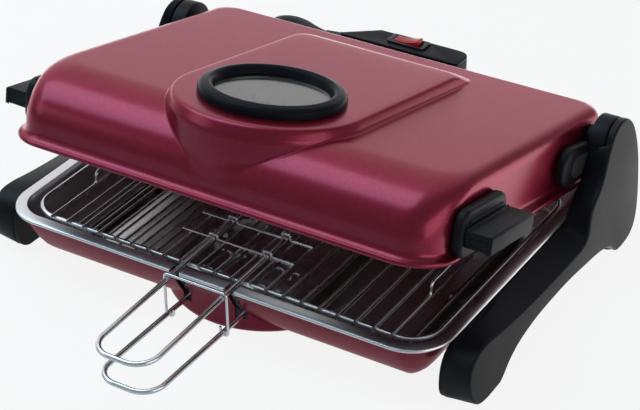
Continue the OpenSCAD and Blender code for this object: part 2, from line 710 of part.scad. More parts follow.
module grip_base() color(BLACK) on_lid() difference() {
    union() {
        along_x(arm_in, grip_base_out) translate([grip_base_y, lid_edge + 2 + grip_base_h / 2])
            round_rect(grip_base_l, grip_base_h, 11);
        // Rib above the root of the grip
        translate([grip_base_out - 1, grip_y - grip_l / 2 + 2, grip_z + 3.4]) cube([2, grip_l - 8, 1.2]);
    }
    over_flange();
    // The upper edge falls away towards the lid
    translate([grip_base_out, grip_base_y, lid_edge + grip_base_h + 2]) rotate([0, 40, 0])
        cube([6, grip_base_l + 10, 14], center = true);
    for (y = grip_screw_y) translate([arm_in - 1, y, grip_screw_z]) rotate([0, 90, 0])
        cylinder(d = screw_d + 0.1, h = 8.5);
}
module grip_base_left() both(-1) grip_base();
module grip_base_right() grip_base();

module lid_grip() color(BLACK) on_lid() translate([grip_base_out + seat_gap, grip_y + grip_l / 2, grip_z])
    rotate([90, 0, 0]) {
        linear_extrude(grip_l) polygon(concat(
            [[0, -8], [1.5, -5.5], [grip_out - 3.4, -4.4]],
            [[grip_out - 2.9, -grip_lip + 0.8]],
            arc([grip_out - 1.3, -grip_lip + 1.2], 1.6, 190, 350, 5),
            arc([grip_out - 2.4, -2.4], 2.4, 0, 90, 5),
            [[grip_out - 2.4, 0], [2, 0], [1.2, 1], [0, 1]]));
        for (end = [0.6, grip_l - 2.6]) translate([0, 0, end]) linear_extrude(2)
            polygon([[0, -1], [0, -grip_lip], [grip_out - 2, -grip_lip + 0.6], [grip_out - 2, -1]]);
    }
module lid_grip_left() both(-1) lid_grip();
module lid_grip_right() lid_grip();

// Closed frame of thick wire
module frame(hw, front, rear, z) wire(
    [[-hw, -front, z], [hw, -front, z], [hw, rear, z], [-hw, rear, z]], frame_d, frame_corner, true);

module basket_upper_frame() color(WIRE) frame(basket_hw, basket_front, basket_rear, upper_z);
module basket_lower_frame() color(WIRE) frame(lower_in, lower_front, basket_rear, lower_z);

module basket_upper_rods() color(WIRE) {
    ends = [-basket_front - rod_end, basket_rear + rod_end];
    for (k = [-rods_half + 1:rods_half - 1])
        bar([k * rod_pitch, ends[0], upper_rod_z], [k * rod_pitch, ends[1], upper_rod_z], rod_d);
    // The outermost rods rise into loops that keep the food off the frame
    for (s = [-1, 1]) let (x = s * rods_half * rod_pitch, up = upper_rod_z + 10) wire(
        [[x, ends[0], upper_rod_z], [x, -75, upper_rod_z], [x, -75, up], [x, 50, up],
         [x, 50, upper_rod_z], [x, ends[1], upper_rod_z]], rod_d, 4);
}
module basket_lower_rods() color(WIRE) for (k = [-rods_half:rods_half])
    bar([k * rod_pitch, -lower_front - rod_end, lower_rod_z],
        [k * rod_pitch, basket_rear + rod_end, lower_rod_z], rod_d);

// Thin wires that hump over the legs of the upper handle and lie on the rods
module basket_upper_guides() color(WIRE) for (i = [0, 1]) {
    y = guide_y[i];
    low = upper_rod_z + (rod_d + bail_d) / 2 + seat_gap;
    high = round(20 * (upper_leg_z(y) + (frame_d + bail_d) / 2 + run_gap)) / 20;
    side = (frame_d + bail_d) / 2 + run_gap;
    wire(concat(
        [[-guide_hw[0], y, low]],
        [for (s = [-1, 1], p = [[-side, low], [-side, high], [side, high], [side, low]])
            [s * leg_x + p.x, y, p.y]],
        [[guide_hw[1], y, low]]), bail_d, 1.2);
}
// Thin wires under the lower rods that hold the legs of the lower handle
module basket_lower_guides() color(WIRE) for (y = guide_y, s = [-1, 1]) {
    top = lower_rod_z - (rod_d + bail_d) / 2 - seat_gap;
    low = lower_leg_z - (frame_d + bail_d) / 2 - run_gap;
    side = (frame_d + bail_d) / 2 + run_gap;
    wire([
        [s * leg_x - 11, y, top], [s * leg_x - side, y, top], [s * leg_x - side, y, low],
        [s * leg_x + side, y, low], [s * leg_x + side, y, top], [s * leg_x + 11, y, top]
    ], bail_d, 1.2);
}

// Flat wire loop of a handle: two legs between a rear crossbar and a rounded grip
module handle(rear, reach) wire([[-leg_x, rear, 0], [-leg_x, -reach, 0], [leg_x, -reach, 0], [leg_x, rear, 0]],
    frame_d, [3, 17, 17, 3], true);

module upper_handle() color(WIRE) translate([0, -basket_front, leg_over]) rotate([upper_slope, 0, 0])
    handle(basket_front - leg_rear, upper_reach - basket_front);
module lower_handle() color(WIRE) translate([0, 0, lower_leg_z]) handle(-leg_rear, lower_reach);

// Wire bail over the upper legs that hooks under the lower legs
module bail_lock() color(WIRE) {
    side = leg_x + (frame_d + bail_d) / 2 + run_gap;
    inner = leg_x - (frame_d + bail_d) / 2 - run_gap;
    high = round(20 * (upper_leg_z(-bail_front) + (frame_d + bail_d) / 2 + run_gap + 0.2)) / 20;
    low = lower_leg_z - (frame_d + bail_d) / 2 - run_gap;
    tip = lower_leg_z + 3;
    y = -bail_front;
    wire([
        [-inner, y, tip], [-inner, y, low], [-side, y, low], [-side, y, high],
        [side, y, high], [side, y, low], [inner, y, low], [inner, y, tip]
    ], bail_d, [0, 3.2, 3.2, 3, 3, 3.2, 3.2, 0]);
}

// Loops that tie the rear wires of both frames together
module basket_hinge() color(WIRE) for (s = [-1, 1]) {
    r = (frame_d + bail_d) / 2 + 0.15;
    x = s * (5 * rod_pitch + rod_pitch / 2);
    wire([
        [x, basket_rear - r, lower_z - r], [x, basket_rear + r, lower_z - r],
        [x, basket_rear + r, upper_z + r], [x, basket_rear - r, upper_z + r]
    ], bail_d, r - 0.05, true);
}

module heating_element() color("#5c5a58") {
    z = heater_z;
    half = [
        [heater_leg_x, box_front + 6, heater_exit_z], [heater_leg_x, heater_riser_y, heater_exit_z],
        [heater_leg_x, heater_riser_y, z], [heater_leg_x, heater_back_y, z],
        [heater_out_x, heater_back_y, z], [heater_out_x, heater_front_y, z],
        [heater_mid_x, heater_front_y, z], [heater_mid_x, heater_mid_y, z]
    ];
    n = len(half) - 1;
    bends = [0, 9, 9, 9, heater_bend, heater_bend, heater_bend, heater_bend];
    wire(concat(half, [for (i = [n:-1:0]) [-half[i].x, half[i].y, half[i].z]]), heater_d,
        concat(bends, [for (i = [n:-1:0]) bends[i]]));
}

// Clips that stand on the tray's floor and carry the element
module element_brackets() color("#b8b8bc") for (s = [-1, 1], at = [[heater_out_x, -20], [heater_mid_x, -35]])
    translate([s * at.x, at.y, tray_floor + tray_t + seat_gap]) difference() {
        translate([-heater_d / 2 - 3, -4, 0])
            cube([heater_d + 6, 8, heater_z - tray_floor - tray_t - seat_gap]);
        translate([0, 0, heater_z - tray_floor - tray_t - seat_gap]) rotate([90, 0, 0])
            cylinder(d = heater_d + 0.3, h = 20, center = true);
    }

// Plate that closes the notch behind the pan and holds the element's legs
module element_flange() color("#b8b8bc") difference() {
    translate([-notch_w / 2 - 4, flange_y, notch_z - 5]) cube([notch_w + 8, 2, rim_z - bead_d - 0.2 - notch_z + 5]);
    for (s = [-1, 1]) translate([s * heater_leg_x, flange_y - 1, heater_exit_z]) rotate([-90, 0, 0])
        cylinder(d = heater_d + 0.2, h = 4);
}

module terminal_insulators() color("#e8e2d4") for (s = [-1, 1])
    translate([s * heater_leg_x, leg_end + seat_gap, heater_exit_z]) rotate([-90, 0, 0])
        cylinder(d = heater_d - 1, h = 4);
module terminal_tabs() color("#b8b8bc") for (s = [-1, 1])
    translate([s * heater_leg_x - 3.15, leg_end + 4.1, heater_exit_z - 0.4]) cube([6.3, rocker_y - leg_end - 3, 0.8]);

// Plan of the housing: round corners at the right and a wing that runs out to the left
function box_plan() = concat(
    arc([box_x[1] - 3, box_front + 3], 3, -90, 0, 4), arc([box_x[1] - 9, box_rear - 9], 9, 0, 90, 8),
    [[box_x[1] - 9, box_rear], [box_x[0], box_rear], [wing_x, box_front + 2.5], [wing_x + 1, box_front]]);

// Part of the plan that the body keeps below the wing
module below_wing(h) translate([wing_x - 5, box_front - 1, box_floor - 1])
    cube([box_x[0] - wing_x + 5, box_d + 5, h - box_floor + 1]);

module control_housing() color(BLACK) difference() {
    union() {
        difference() {
            translate([0, 0, box_floor]) linear_extrude(cover_z - seat_gap - box_floor) polygon(box_plan());
            below_wing(wing_floor);
        }
        // Nose round the cord
        translate([nose_x, cord_y, nose_z - 2]) rotate([0, 90, 0]) cylinder(d = nose_d, h = 20);
        // Neck that reaches to the plate behind the pan
        along_y(flange_y + 2 + seat_gap, box_front + 1) translate([0, heater_exit_z])
            round_rect(box_neck_w, 13, 3);
    }
    difference() {
        translate([0, 0, box_floor + box_wall]) linear_extrude(box_top) offset(delta = -box_wall) polygon(box_plan());
        below_wing(wing_floor + box_wall);
        for (x = post_x) translate([x, post_y, box_floor]) cylinder(d = 9, h = post_top - box_floor);
    }
    translate([nose_x - 10, cord_y - nose_d, cover_z - seat_gap]) cube([40, 2 * nose_d, 10]);
    along_y(flange_y, box_front + box_wall + 1) translate([0, heater_exit_z]) round_rect(box_neck_w - 5, 9, 2);
    // Bore for the strain relief
    translate([nose_x - 1, cord_y, nose_z - 2]) rotate([0, 90, 0]) cylinder(d = cord_d + 2.1, h = 24);
    for (x = post_x) translate([x, post_y, box_floor - 1]) {
        cylinder(d = 6.2, h = post_top - 2 - box_floor + 1);
        cylinder(d = 3, h = post_top - box_floor + 2);
    }
}

module along_y(from, to) translate([0, to, 0]) rotate([90, 0, 0]) linear_extrude(to - from) children();

module control_cover() color(BLACK) difference() {
    union() {
        translate([0, 0, cover_z]) linear_extrude(cover_t) polygon(box_plan());
        for (x = post_x) translate([x, post_y, post_top + seat_gap]) cylinder(d = 7, h = cover_z - post_top);
    }
    translate([rocker_x, rocker_y, cover_z - 10]) linear_extrude(20)
        square([switch_l - 2.4, switch_w - 2.4], center = true);
    for (x = post_x) translate([x, post_y, post_top - 1]) cylinder(d = 2.6, h = cover_z - post_top + 2.2);
}

module cover_screws() color("#b8b8bc") for (x = post_x) translate([x, post_y, post_top - 2 - seat_gap]) {
    translate([0, 0, -2]) cylinder(d = 5.4, h = 2);
    cylinder(d = 2.5, h = cover_z - post_top + 2.4);
}

module rocker_switch_body() color("#17181a") difference() {
    union() {
        translate([rocker_x, rocker_y, box_top + seat_gap]) linear_extrude(1.4)
            difference() {
                round_rect(switch_l, switch_w, 2);
                square([rocker_l + 0.8, rocker_w + 0.8], center = true);
            }
        translate([rocker_x, rocker_y, box_top - 17]) linear_extrude(17.2)
            square([switch_l - 2.6, switch_w - 2.6], center = true);
        for (x = [-8, 0, 8]) translate([rocker_x + x - 2.4, rocker_y - 0.4, box_top - 25])
            cube([4.8, 0.8, 9]);
    }
    translate([rocker_x, rocker_y, box_top - 12.5]) linear_extrude(30)
        square([rocker_l + 0.8, rocker_w + 0.4], center = true);
    translate([rocker_x, rocker_y, axle_z]) rotate([90, 0, 0])
        cylinder(d = axle_d, h = switch_w + 2, center = true);
}

// Red key that tips about an axle across the housing
module rocker() color("#c8202c") translate([rocker_x, rocker_y, axle_z]) rotate([0, -rocker_tilt, 0]) {
    translate([0, rocker_w / 2 - 0.2, 0]) rotate([90, 0, 0]) linear_extrude(rocker_w - 0.4) polygon(concat(
        curve([-rocker_l / 2 + 0.6, 1], [-rocker_l / 4, -3.6], [rocker_l / 4, -3.6], [rocker_l / 2 - 0.6, 1], 8),
        [[rocker_l / 2 - 0.6, 1], [rocker_l / 2 - 0.6, 4.6]],
        curve([rocker_l / 2 - 2, 5], [5, 3.4], [-5, 3.4], [2 - rocker_l / 2, 5], 6),
        [[2 - rocker_l / 2, 5], [-rocker_l / 2 + 0.6, 4.6]]));
    rotate([90, 0, 0]) cylinder(d = axle_d - 0.1, h = rocker_w + 1.4, center = true);
}

module thermal_fuse() color("#d8d4c8") translate(fuse_at) rotate([0, 90, 0]) {
    cylinder(d = 5, h = 14, center = true);
    cylinder(d = 1.2, h = 26, center = true);
}

// Insulated leads between the terminals, the fuse, the switch and the cord
module wire_leads() color("#2d4f9e") {
    y = rocker_y;
    z = fuse_at.z;
    start_z = heater_exit_z + 0.45;
    tab_z = box_top - 25.05;
    cord_x = nose_x + cord_in + seat_gap;
    fuse_x = [fuse_at.x - 13, fuse_at.x + 13];
    rise_x = [box_x[0] + 9, box_x[0] + 5];
    turn_x = box_x[0] - 3;
    high = [nose_z - 4.2, nose_z - 1];
    wire([[heater_leg_x, y, start_z], [heater_leg_x, y, z - 10], [fuse_x[1] + 8, y, z - 10],
          [fuse_x[1] + 8, y, z], [fuse_x[1] + seat_gap, y, z]], lead_d, 2);
    wire([[fuse_x[0] - seat_gap, y, z], [rocker_x + 8, y, z], [rocker_x + 8, y, tab_z]], lead_d, 2);
    wire([[rocker_x - 8, y, tab_z], [rocker_x - 8, y, z], [rise_x[0], y, z], [rise_x[0], y, high[0]],
          [turn_x, y, high[0]], [turn_x, cord_y, high[0]], [cord_x, cord_y, high[0]]], lead_d, 2);
    wire([[-heater_leg_x, y, start_z], [-heater_leg_x, y, z - 8], [rise_x[1], y, z - 8],
          [rise_x[1], y, high[1]], [turn_x, y, high[1]], [turn_x, cord_y, high[1]],
          [cord_x, cord_y, high[1]]], lead_d, 2);
}

module strain_relief() color("#1c1d20") translate([nose_x, cord_y, nose_z - 2]) rotate([0, -90, 0]) difference() {
    union() {
        translate([0, 0, -14]) cylinder(d = cord_d + 2, h = 14.5);
        translate([0, 0, seat_gap]) cylinder(d = cord_d + 5, h = 3);
        translate([0, 0, 3]) cylinder(d1 = cord_d + 4, d2 = cord_d + 1.6, h = relief_l - 3);
    }
    translate([0, 0, -20]) cylinder(d = cord_d + 0.2, h = relief_l + 40);
}

// A tube swept along route points, one ring per point
module tube(route, d, sides = 10) {
    n = len(route);
    function way(i) = unit(route[min(i + 1, n - 1)] - route[max(i - 1, 0)]);
    rings = [for (i = [0:n - 1]) let (z = way(i), x = unit(cross([0, 0, 1], z)), y = cross(z, x))
        [for (k = [0:sides - 1]) route[i] + d / 2 * (x * cos(k * 360 / sides) + y * sin(k * 360 / sides))]];
    polyhedron([for (r = rings) each r], concat(
        [[for (k = [sides - 1:-1:0]) k], [for (k = [0:sides - 1]) (n - 1) * sides + k]],
        [for (i = [0:n - 2], k = [0:sides - 1]) let (a = i * sides + k, b = i * sides + (k + 1) % sides)
            each [[a, b, b + sides], [a, b + sides, a + sides]]]));
}

// Points between the chosen ones, on a smooth curve through them
function smooth(p, steps = 3) = let (n = len(p)) concat(
    [for (i = [0:n - 2], k = [0:steps - 1]) let (
        t = k / steps, a = p[max(i - 1, 0)], b = p[i], c = p[i + 1], d = p[min(i + 2, n - 1)])
        0.5 * (2 * b + (c - a) * t + (2 * a - 5 * b + 4 * c - d) * t * t + (3 * b - a - 3 * c + d) * t * t * t)],
    [p[n - 1]]);

module mains_cord() color("#1c1d20") {
    tube(smooth(concat(
        [[nose_x + cord_in, cord_y, nose_z - 2], [nose_x - 12, cord_y, nose_z - 2]], cord_route)), cord_d);
    tube(smooth(plug_route, 2), cord_d);
}
module cord_coil() color("#1c1d20") translate([coil_at.x, coil_at.y, 0.5])
    rotate_extrude() translate([coil_r, coil_h / 2]) round_rect(coil_w, coil_h, 5);

module at_plug() translate(plug_at) rotate(plug_turn) children();
module plug_body() color("#1c1d20") at_plug() {
    rotate([0, 90, 0]) cylinder(d1 = cord_d + 2, d2 = 13, h = 18);
    translate([18, 0, 0]) rotate([90, 0, 90]) linear_extrude(17) round_rect(30, 15.4, 6);
}
module plug_pins() color("#b8b8bc") at_plug() for (y = [-9.5, 9.5])
    translate([35 + seat_gap, y, 0]) rotate([0, 90, 0]) cylinder(d = 4.8, h = 19);

translate([0, origin_back, 0]) {
    base_pan();
    drip_tray();
    side_panel_left();
    side_panel_right();
    side_inner_left();
    side_inner_right();
    rubber_feet();
    panel_nuts();
    hinge_pin_left();
    hinge_pin_right();
    hinge_bush_left();
    hinge_bush_right();
    hinge_arm_left();
    hinge_arm_right();
    arm_screws();
    heating_element();
    element_brackets();
    element_flange();
    terminal_insulators();
    terminal_tabs();
    control_housing();
    control_cover();
    cover_screws();
    rocker_switch_body();
    rocker();
    thermal_fuse();
    wire_leads();
    strain_relief();
    mains_cord();
    cord_coil();
    plug_body();
    plug_pins();
    lid_shell();
    window_bezel();
    window_glass();
    window_gasket();
    window_clamp();
    clamp_screws();
    lid_grip_left();
    lid_grip_right();
    grip_base_left();
    grip_base_right();
    grip_screws();
    basket_upper_frame();
    basket_upper_rods();
    basket_upper_guides();
    upper_handle();
    basket_lower_frame();
    basket_lower_rods();
    basket_lower_guides();
    lower_handle();
    bail_lock();
    basket_hinge();
}
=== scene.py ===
import math
from types import SimpleNamespace

import bpy
import numpy as np
from mathutils import Matrix, Vector


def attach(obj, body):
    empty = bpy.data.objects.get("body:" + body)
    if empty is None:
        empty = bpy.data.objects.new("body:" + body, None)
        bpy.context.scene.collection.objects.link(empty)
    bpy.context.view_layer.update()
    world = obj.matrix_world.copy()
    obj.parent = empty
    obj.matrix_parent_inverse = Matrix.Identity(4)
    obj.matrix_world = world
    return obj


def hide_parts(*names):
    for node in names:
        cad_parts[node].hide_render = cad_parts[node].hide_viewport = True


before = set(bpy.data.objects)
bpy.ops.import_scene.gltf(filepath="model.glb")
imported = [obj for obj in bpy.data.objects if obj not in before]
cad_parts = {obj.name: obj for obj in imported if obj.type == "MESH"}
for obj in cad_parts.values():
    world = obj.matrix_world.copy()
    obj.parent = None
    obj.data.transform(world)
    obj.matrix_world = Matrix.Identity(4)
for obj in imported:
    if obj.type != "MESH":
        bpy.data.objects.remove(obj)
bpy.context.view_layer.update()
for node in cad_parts.values():
    node.select_set(False)

# ---------------------------------------------------------------------------
# Camera and room.
# A long lens from the front right, a broad soft lamp over the lid's left side,
# two weak ones at the sides, and a pale floor that keeps the soft shadow.
# ---------------------------------------------------------------------------
cam_right = Vector((0.85044, 0.525967, -0.010483))
cam_up = Vector((-0.271097, 0.455243, 0.848092))
cam_back = Vector((0.450841, -0.71841, 0.529745))
cam_place = Vector((0.685545, -1.044675, 0.833319))

bpy.ops.object.camera_add()
camera = bpy.context.object
camera.name = "photo_camera"
turn = Matrix((cam_right, cam_up, cam_back)).transposed().to_4x4()
camera.matrix_world = Matrix.Translation(cam_place) @ turn
image_w, focal_px, centre_down_px = 640, 1923.46, 1.03
camera.data.sensor_width = 36.0
camera.data.lens = camera.data.sensor_width * focal_px / image_w
camera.data.shift_y = -centre_down_px / image_w
camera.data.clip_start = 0.05
camera.data.clip_end = 20
bpy.context.scene.camera = camera
bpy.context.scene.view_settings.view_transform = "Standard"


def soft_lamp(name, place, aim, size, power, tint=(1.0, 1.0, 1.0)):
    """A rectangular lamp at a place, turned towards its aim."""
    bpy.ops.object.light_add(type="AREA", location=place)
    lamp = bpy.context.object
    lamp.name = name
    lamp.data.shape = "RECTANGLE"
    lamp.data.size, lamp.data.size_y = size
    lamp.data.energy = power
    lamp.data.color = tint
    lamp.rotation_euler = (Vector(aim) - Vector(place)).to_track_quat("-Z", "Y").to_euler()


soft_lamp("lamp_over", (-0.82, -0.1, 1.5), (0, 0, 0.1), (1.0, 1.6), 13.5, (0.5, 0.84, 1.0))
soft_lamp("lamp_front_left", (-1.6, -1.1, 1.0), (0, 0, 0.05), (0.9, 0.7), 2)
soft_lamp("lamp_right", (1.5, -0.3, 0.45), (0, 0, 0.05), (1.2, 0.8), 4)


def nodes_in(tree, **kinds):
    """New shader nodes in a tree, each under a short name of its own."""
    return SimpleNamespace(**{name: tree.nodes.new("ShaderNode" + kind) for name, kind in kinds.items()})


def link_all(tree, *pairs):
    """Joins each pair of an output and an input."""
    for output, entry in pairs:
        tree.links.new(output, entry)


def fade(node, start, end, low=0.0, high=1.0):
    """A Map Range node that goes from low at start to high at end."""
    for label, value in (("From Min", start), ("From Max", end), ("To Min", low), ("To Max", high)):
        node.inputs[label].default_value = value


def backdrop_share(tree, n, coordinate):
    """How much white metal and glass see: the backdrop stands behind the grill, not to its right."""
    n.both.operation = n.mirrored.operation = "MULTIPLY"
    n.gloss.operation = "MAXIMUM"
    link_all(
        tree,
        (n.place.outputs[coordinate], n.split.inputs["Vector"]),
        (n.split.outputs["Y"], n.rear.inputs["Value"]),
        (n.split.outputs["X"], n.right.inputs["Value"]),
        (n.rear.outputs["Result"], n.both.inputs[0]),
        (n.right.outputs["Result"], n.both.inputs[1]),
        (n.path.outputs["Is Glossy Ray"], n.gloss.inputs[0]),
        (n.path.outputs["Is Transmission Ray"], n.gloss.inputs[1]),
        (n.gloss.outputs["Value"], n.mirrored.inputs[0]),
        (n.both.outputs["Value"], n.mirrored.inputs[1]),
    )


world = bpy.data.worlds.new("studio")
bpy.context.scene.world = world
world.use_nodes = True
sky = world.node_tree
sky.nodes.clear()
n = nodes_in(
    sky, out="OutputWorld", mix="MixShader", room="Background", white="Background", path="LightPath",
    place="TexCoord", split="SeparateXYZ", rear="MapRange", right="MapRange", both="Math", gloss="Math",
    mirrored="Math", seen="Math")
n.room.inputs["Color"].default_value = (0.96, 0.97, 1.0, 1.0)
n.room.inputs["Strength"].default_value = 0.28
n.white.inputs["Color"].default_value = (1.0, 1.0, 1.0, 1.0)
fade(n.rear, -0.25, 0.35, 0.0, 0.75)
fade(n.right, 0.3, -0.25, 0.03)
backdrop_share(sky, n, "Generated")
n.seen.operation = "MAXIMUM"
link_all(
    sky,
    (n.path.outputs["Is Camera Ray"], n.seen.inputs[0]),
    (n.mirrored.outputs["Value"], n.seen.inputs[1]),
    (n.seen.outputs["Value"], n.mix.inputs["Fac"]),
    (n.room.outputs["Background"], n.mix.inputs[1]),
    (n.white.outputs["Background"], n.mix.inputs[2]),
    (n.mix.outputs["Shader"], n.out.inputs["Surface"]),
)

bpy.ops.mesh.primitive_plane_add(size=9, location=(0, 0, -0.0002))
floor = bpy.context.object
floor.name = "floor"
floor_look = bpy.data.materials.new("pale_floor")
floor_look.use_nodes = True
tree = floor_look.node_tree
tree.nodes.clear()
n = nodes_in(
    tree, out="OutputMaterial", mix="MixShader", dull="BsdfDiffuse", glow="Emission", path="LightPath",
    place="TexCoord", split="SeparateXYZ", rear="MapRange", right="MapRange", power="MapRange", both="Math",
    gloss="Math", mirrored="Math", share="Math", seen="Math")
n.dull.inputs["Color"].default_value = (0.86, 0.86, 0.86, 1)
fade(n.rear, -0.2, 0.25)
fade(n.right, 1.2, 0.5, 0.03)
fade(n.power, 0, 1, 1.0, 1.8)
backdrop_share(tree, n, "Object")
n.share.operation = "MULTIPLY"
n.share.inputs[1].default_value = 0.88
n.seen.operation = "MAXIMUM"
link_all(
    tree,
    (n.path.outputs["Is Glossy Ray"], n.power.inputs["Value"]),
    (n.power.outputs["Result"], n.glow.inputs["Strength"]),
    (n.path.outputs["Is Camera Ray"], n.share.inputs[0]),
    (n.share.outputs["Value"], n.seen.inputs[0]),
    (n.mirrored.outputs["Value"], n.seen.inputs[1]),
    (n.seen.outputs["Value"], n.mix.inputs["Fac"]),
    (n.dull.outputs["BSDF"], n.mix.inputs[1]),
    (n.glow.outputs["Emission"], n.mix.inputs[2]),
    (n.mix.outputs["Shader"], n.out.inputs["Surface"]),
)
floor.data.materials.append(floor_look)
floor.select_set(False)

# ---------------------------------------------------------------------------
# Mains cord, 7 mm round flex in soft black rubber.
# It leaves the end of the control box, drops behind the grill, and the spare
# length is wound in a flat coil on the table with the plug beside it.
# ---------------------------------------------------------------------------
cord_d = 0.007
coil_x, coil_y = -106.0, 249.0
surface_inputs = ("Grain Scale", "Cloud Scale", "Rough Low", "Rough High")


def moulded_surface():
    """Grain, slow clouding and the matching roughness of a moulded or painted face."""
    group = bpy.data.node_groups.new("moulded_surface", "ShaderNodeTree")
    for label, start in zip(surface_inputs, (900.0, 14.0, 0.35, 0.5)):
        socket = group.interface.new_socket(label, in_out="INPUT", socket_type="NodeSocketFloat")
        socket.default_value = start
    for label in ("Roughness", "Height", "Clouds"):
        group.interface.new_socket(label, in_out="OUTPUT", socket_type="NodeSocketFloat")
    inp, out = group.nodes.new("NodeGroupInput"), group.nodes.new("NodeGroupOutput")
    n = nodes_in(group, where="TexCoord", grain="TexNoise", cloud="TexNoise", spread="MapRange")
    n.grain.inputs["Detail"].default_value = 3
    n.cloud.inputs["Detail"].default_value = 4
    fade(n.spread, 0.3, 0.7)
    link_all(
        group,
        (n.where.outputs["Object"], n.grain.inputs["Vector"]),
        (n.where.outputs["Object"], n.cloud.inputs["Vector"]),
        (inp.outputs["Grain Scale"], n.grain.inputs["Scale"]),
        (inp.outputs["Cloud Scale"], n.cloud.inputs["Scale"]),
        (n.cloud.outputs["Fac"], n.spread.inputs["Value"]),
        (inp.outputs["Rough Low"], n.spread.inputs["To Min"]),
        (inp.outputs["Rough High"], n.spread.inputs["To Max"]),
        (n.spread.outputs["Result"], out.inputs["Roughness"]),
        (n.grain.outputs["Fac"], out.inputs["Height"]),
        (n.cloud.outputs["Fac"], out.inputs["Clouds"]),
    )
    return group


surface_group = moulded_surface()


def finish_of(name, dark, light, rough, grain=900.0, bump=0.1, cloud=14.0, depth=0.0002, **shader):
    """A material whose colour runs from dark to light in slow clouds, with a fine grain."""
    look = bpy.data.materials.new(name)
    look.use_nodes = True
    tree = look.node_tree
    skin = tree.nodes["Principled BSDF"]
    for label, value in shader.items():
        skin.inputs[label.replace("_", " ")].default_value = value
    n = nodes_in(tree, part="Group", tint="Mix", relief="Bump")
    n.part.node_tree = surface_group
    for label, value in zip(surface_inputs, (grain, cloud, *rough)):
        n.part.inputs[label].default_value = value
    n.tint.data_type = "RGBA"
    n.tint.inputs["A"].default_value = (*dark, 1)
    n.tint.inputs["B"].default_value = (*light, 1)
    n.relief.inputs["Strength"].default_value = bump
    n.relief.inputs["Distance"].default_value = depth
    link_all(
        tree,
        (n.part.outputs["Clouds"], n.tint.inputs["Factor"]),
        (n.tint.outputs["Result"], skin.inputs["Base Color"]),
        (n.part.outputs["Roughness"], skin.inputs["Roughness"]),
        (n.part.outputs["Height"], n.relief.inputs["Height"]),
        (n.relief.outputs["Normal"], skin.inputs["Normal"]),
    )
    return look


def put_on(look, *nodes):
    """Gives CAD nodes their finish."""
    for node_name in nodes:
        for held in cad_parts[node_name].material_slots:
            held.material = look


cord_look = finish_of(
    "black_cord_rubber", (0.012, 0.012, 0.013), (0.022, 0.022, 0.023), (0.5, 0.62), grain=700, bump=0.18)

# In mm: out of the control box, down behind the grill and round to the coil
cord_drop = [
    (-61, 205, 85), (-74, 205, 85), (-84, 205, 85), (-92, 205, 85), (-104, 208, 85.5), (-118, 214, 85),
    (-134, 218, 83), (-149, 222, 77), (-158, 229, 68), (-163, 238, 54), (-163, 250, 38),
    (-157, 265, 22), (-146, 280, 12), (-128, 294, 7),
]
# Turns run clockwise from the rear: turns so far, radius, height
coil_plan = [
    (0.0, 49.3, 5.0), (0.35, 45.5, 4.0), (1.3, 34.4, 4.0), (1.65, 34.4, 7.4), (1.95, 34.4, 11.1),
    (2.3, 34.4, 11.1), (2.95, 34.4, 18.2), (3.35, 41.8, 18.2), (4.35, 41.8, 11.1), (4.5, 41.8, 10.4),
]
points_per_turn = 16
coil_points = []
for k in range(int(coil_plan[-1][0] * points_per_turn) + 1):
    turns = k / points_per_turn
    radius, height = (
        float(np.interp(turns, [p[0] for p in coil_plan], [p[i] for p in coil_plan])) for i in (1, 2))
    around = math.radians(90 - 360 * turns)
    coil_points.append((coil_x + radius * math.cos(around), coil_y + radius * math.sin(around), height))
# From the end of the last turn into the plug
cord_tail = [(-119, 206.6, 8.8), (-132, 206, 7.6), (-141, 206.6, 7.8), (-150.2, 208.5, 8)]

flex_line = bpy.data.curves.new("mains_flex", "CURVE")
flex_line.dimensions = "3D"
flex_line.bevel_depth = cord_d / 2
flex_line.bevel_resolution = 4
flex_line.resolution_u = 5
flex_line.use_fill_caps = True
run = flex_line.splines.new("BEZIER")
flex_points = cord_drop + coil_points + cord_tail
run.bezier_points.add(len(flex_points) - 1)
for knot, p in zip(run.bezier_points, flex_points):
    knot.co = Vector(p) / 1000
    knot.handle_left_type = knot.handle_right_type = "AUTO"
flex = bpy.data.objects.new("mains_flex", flex_line)
bpy.context.collection.objects.link(flex)
flex_line.materials.append(cord_look)
bpy.context.view_layer.update()

put_on(cord_look, "strain_relief", "plug_body")
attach(flex, "grill")
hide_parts("mains_cord", "cord_coil")

# ---------------------------------------------------------------------------
# Base pan: deep-drawn steel, wine enamel outside, with a round sump in front.
# Three studs on each side bolt it to the side plates. Its folded profile is
# kept from the solid, and its pressed edges are smoothed.
# ---------------------------------------------------------------------------


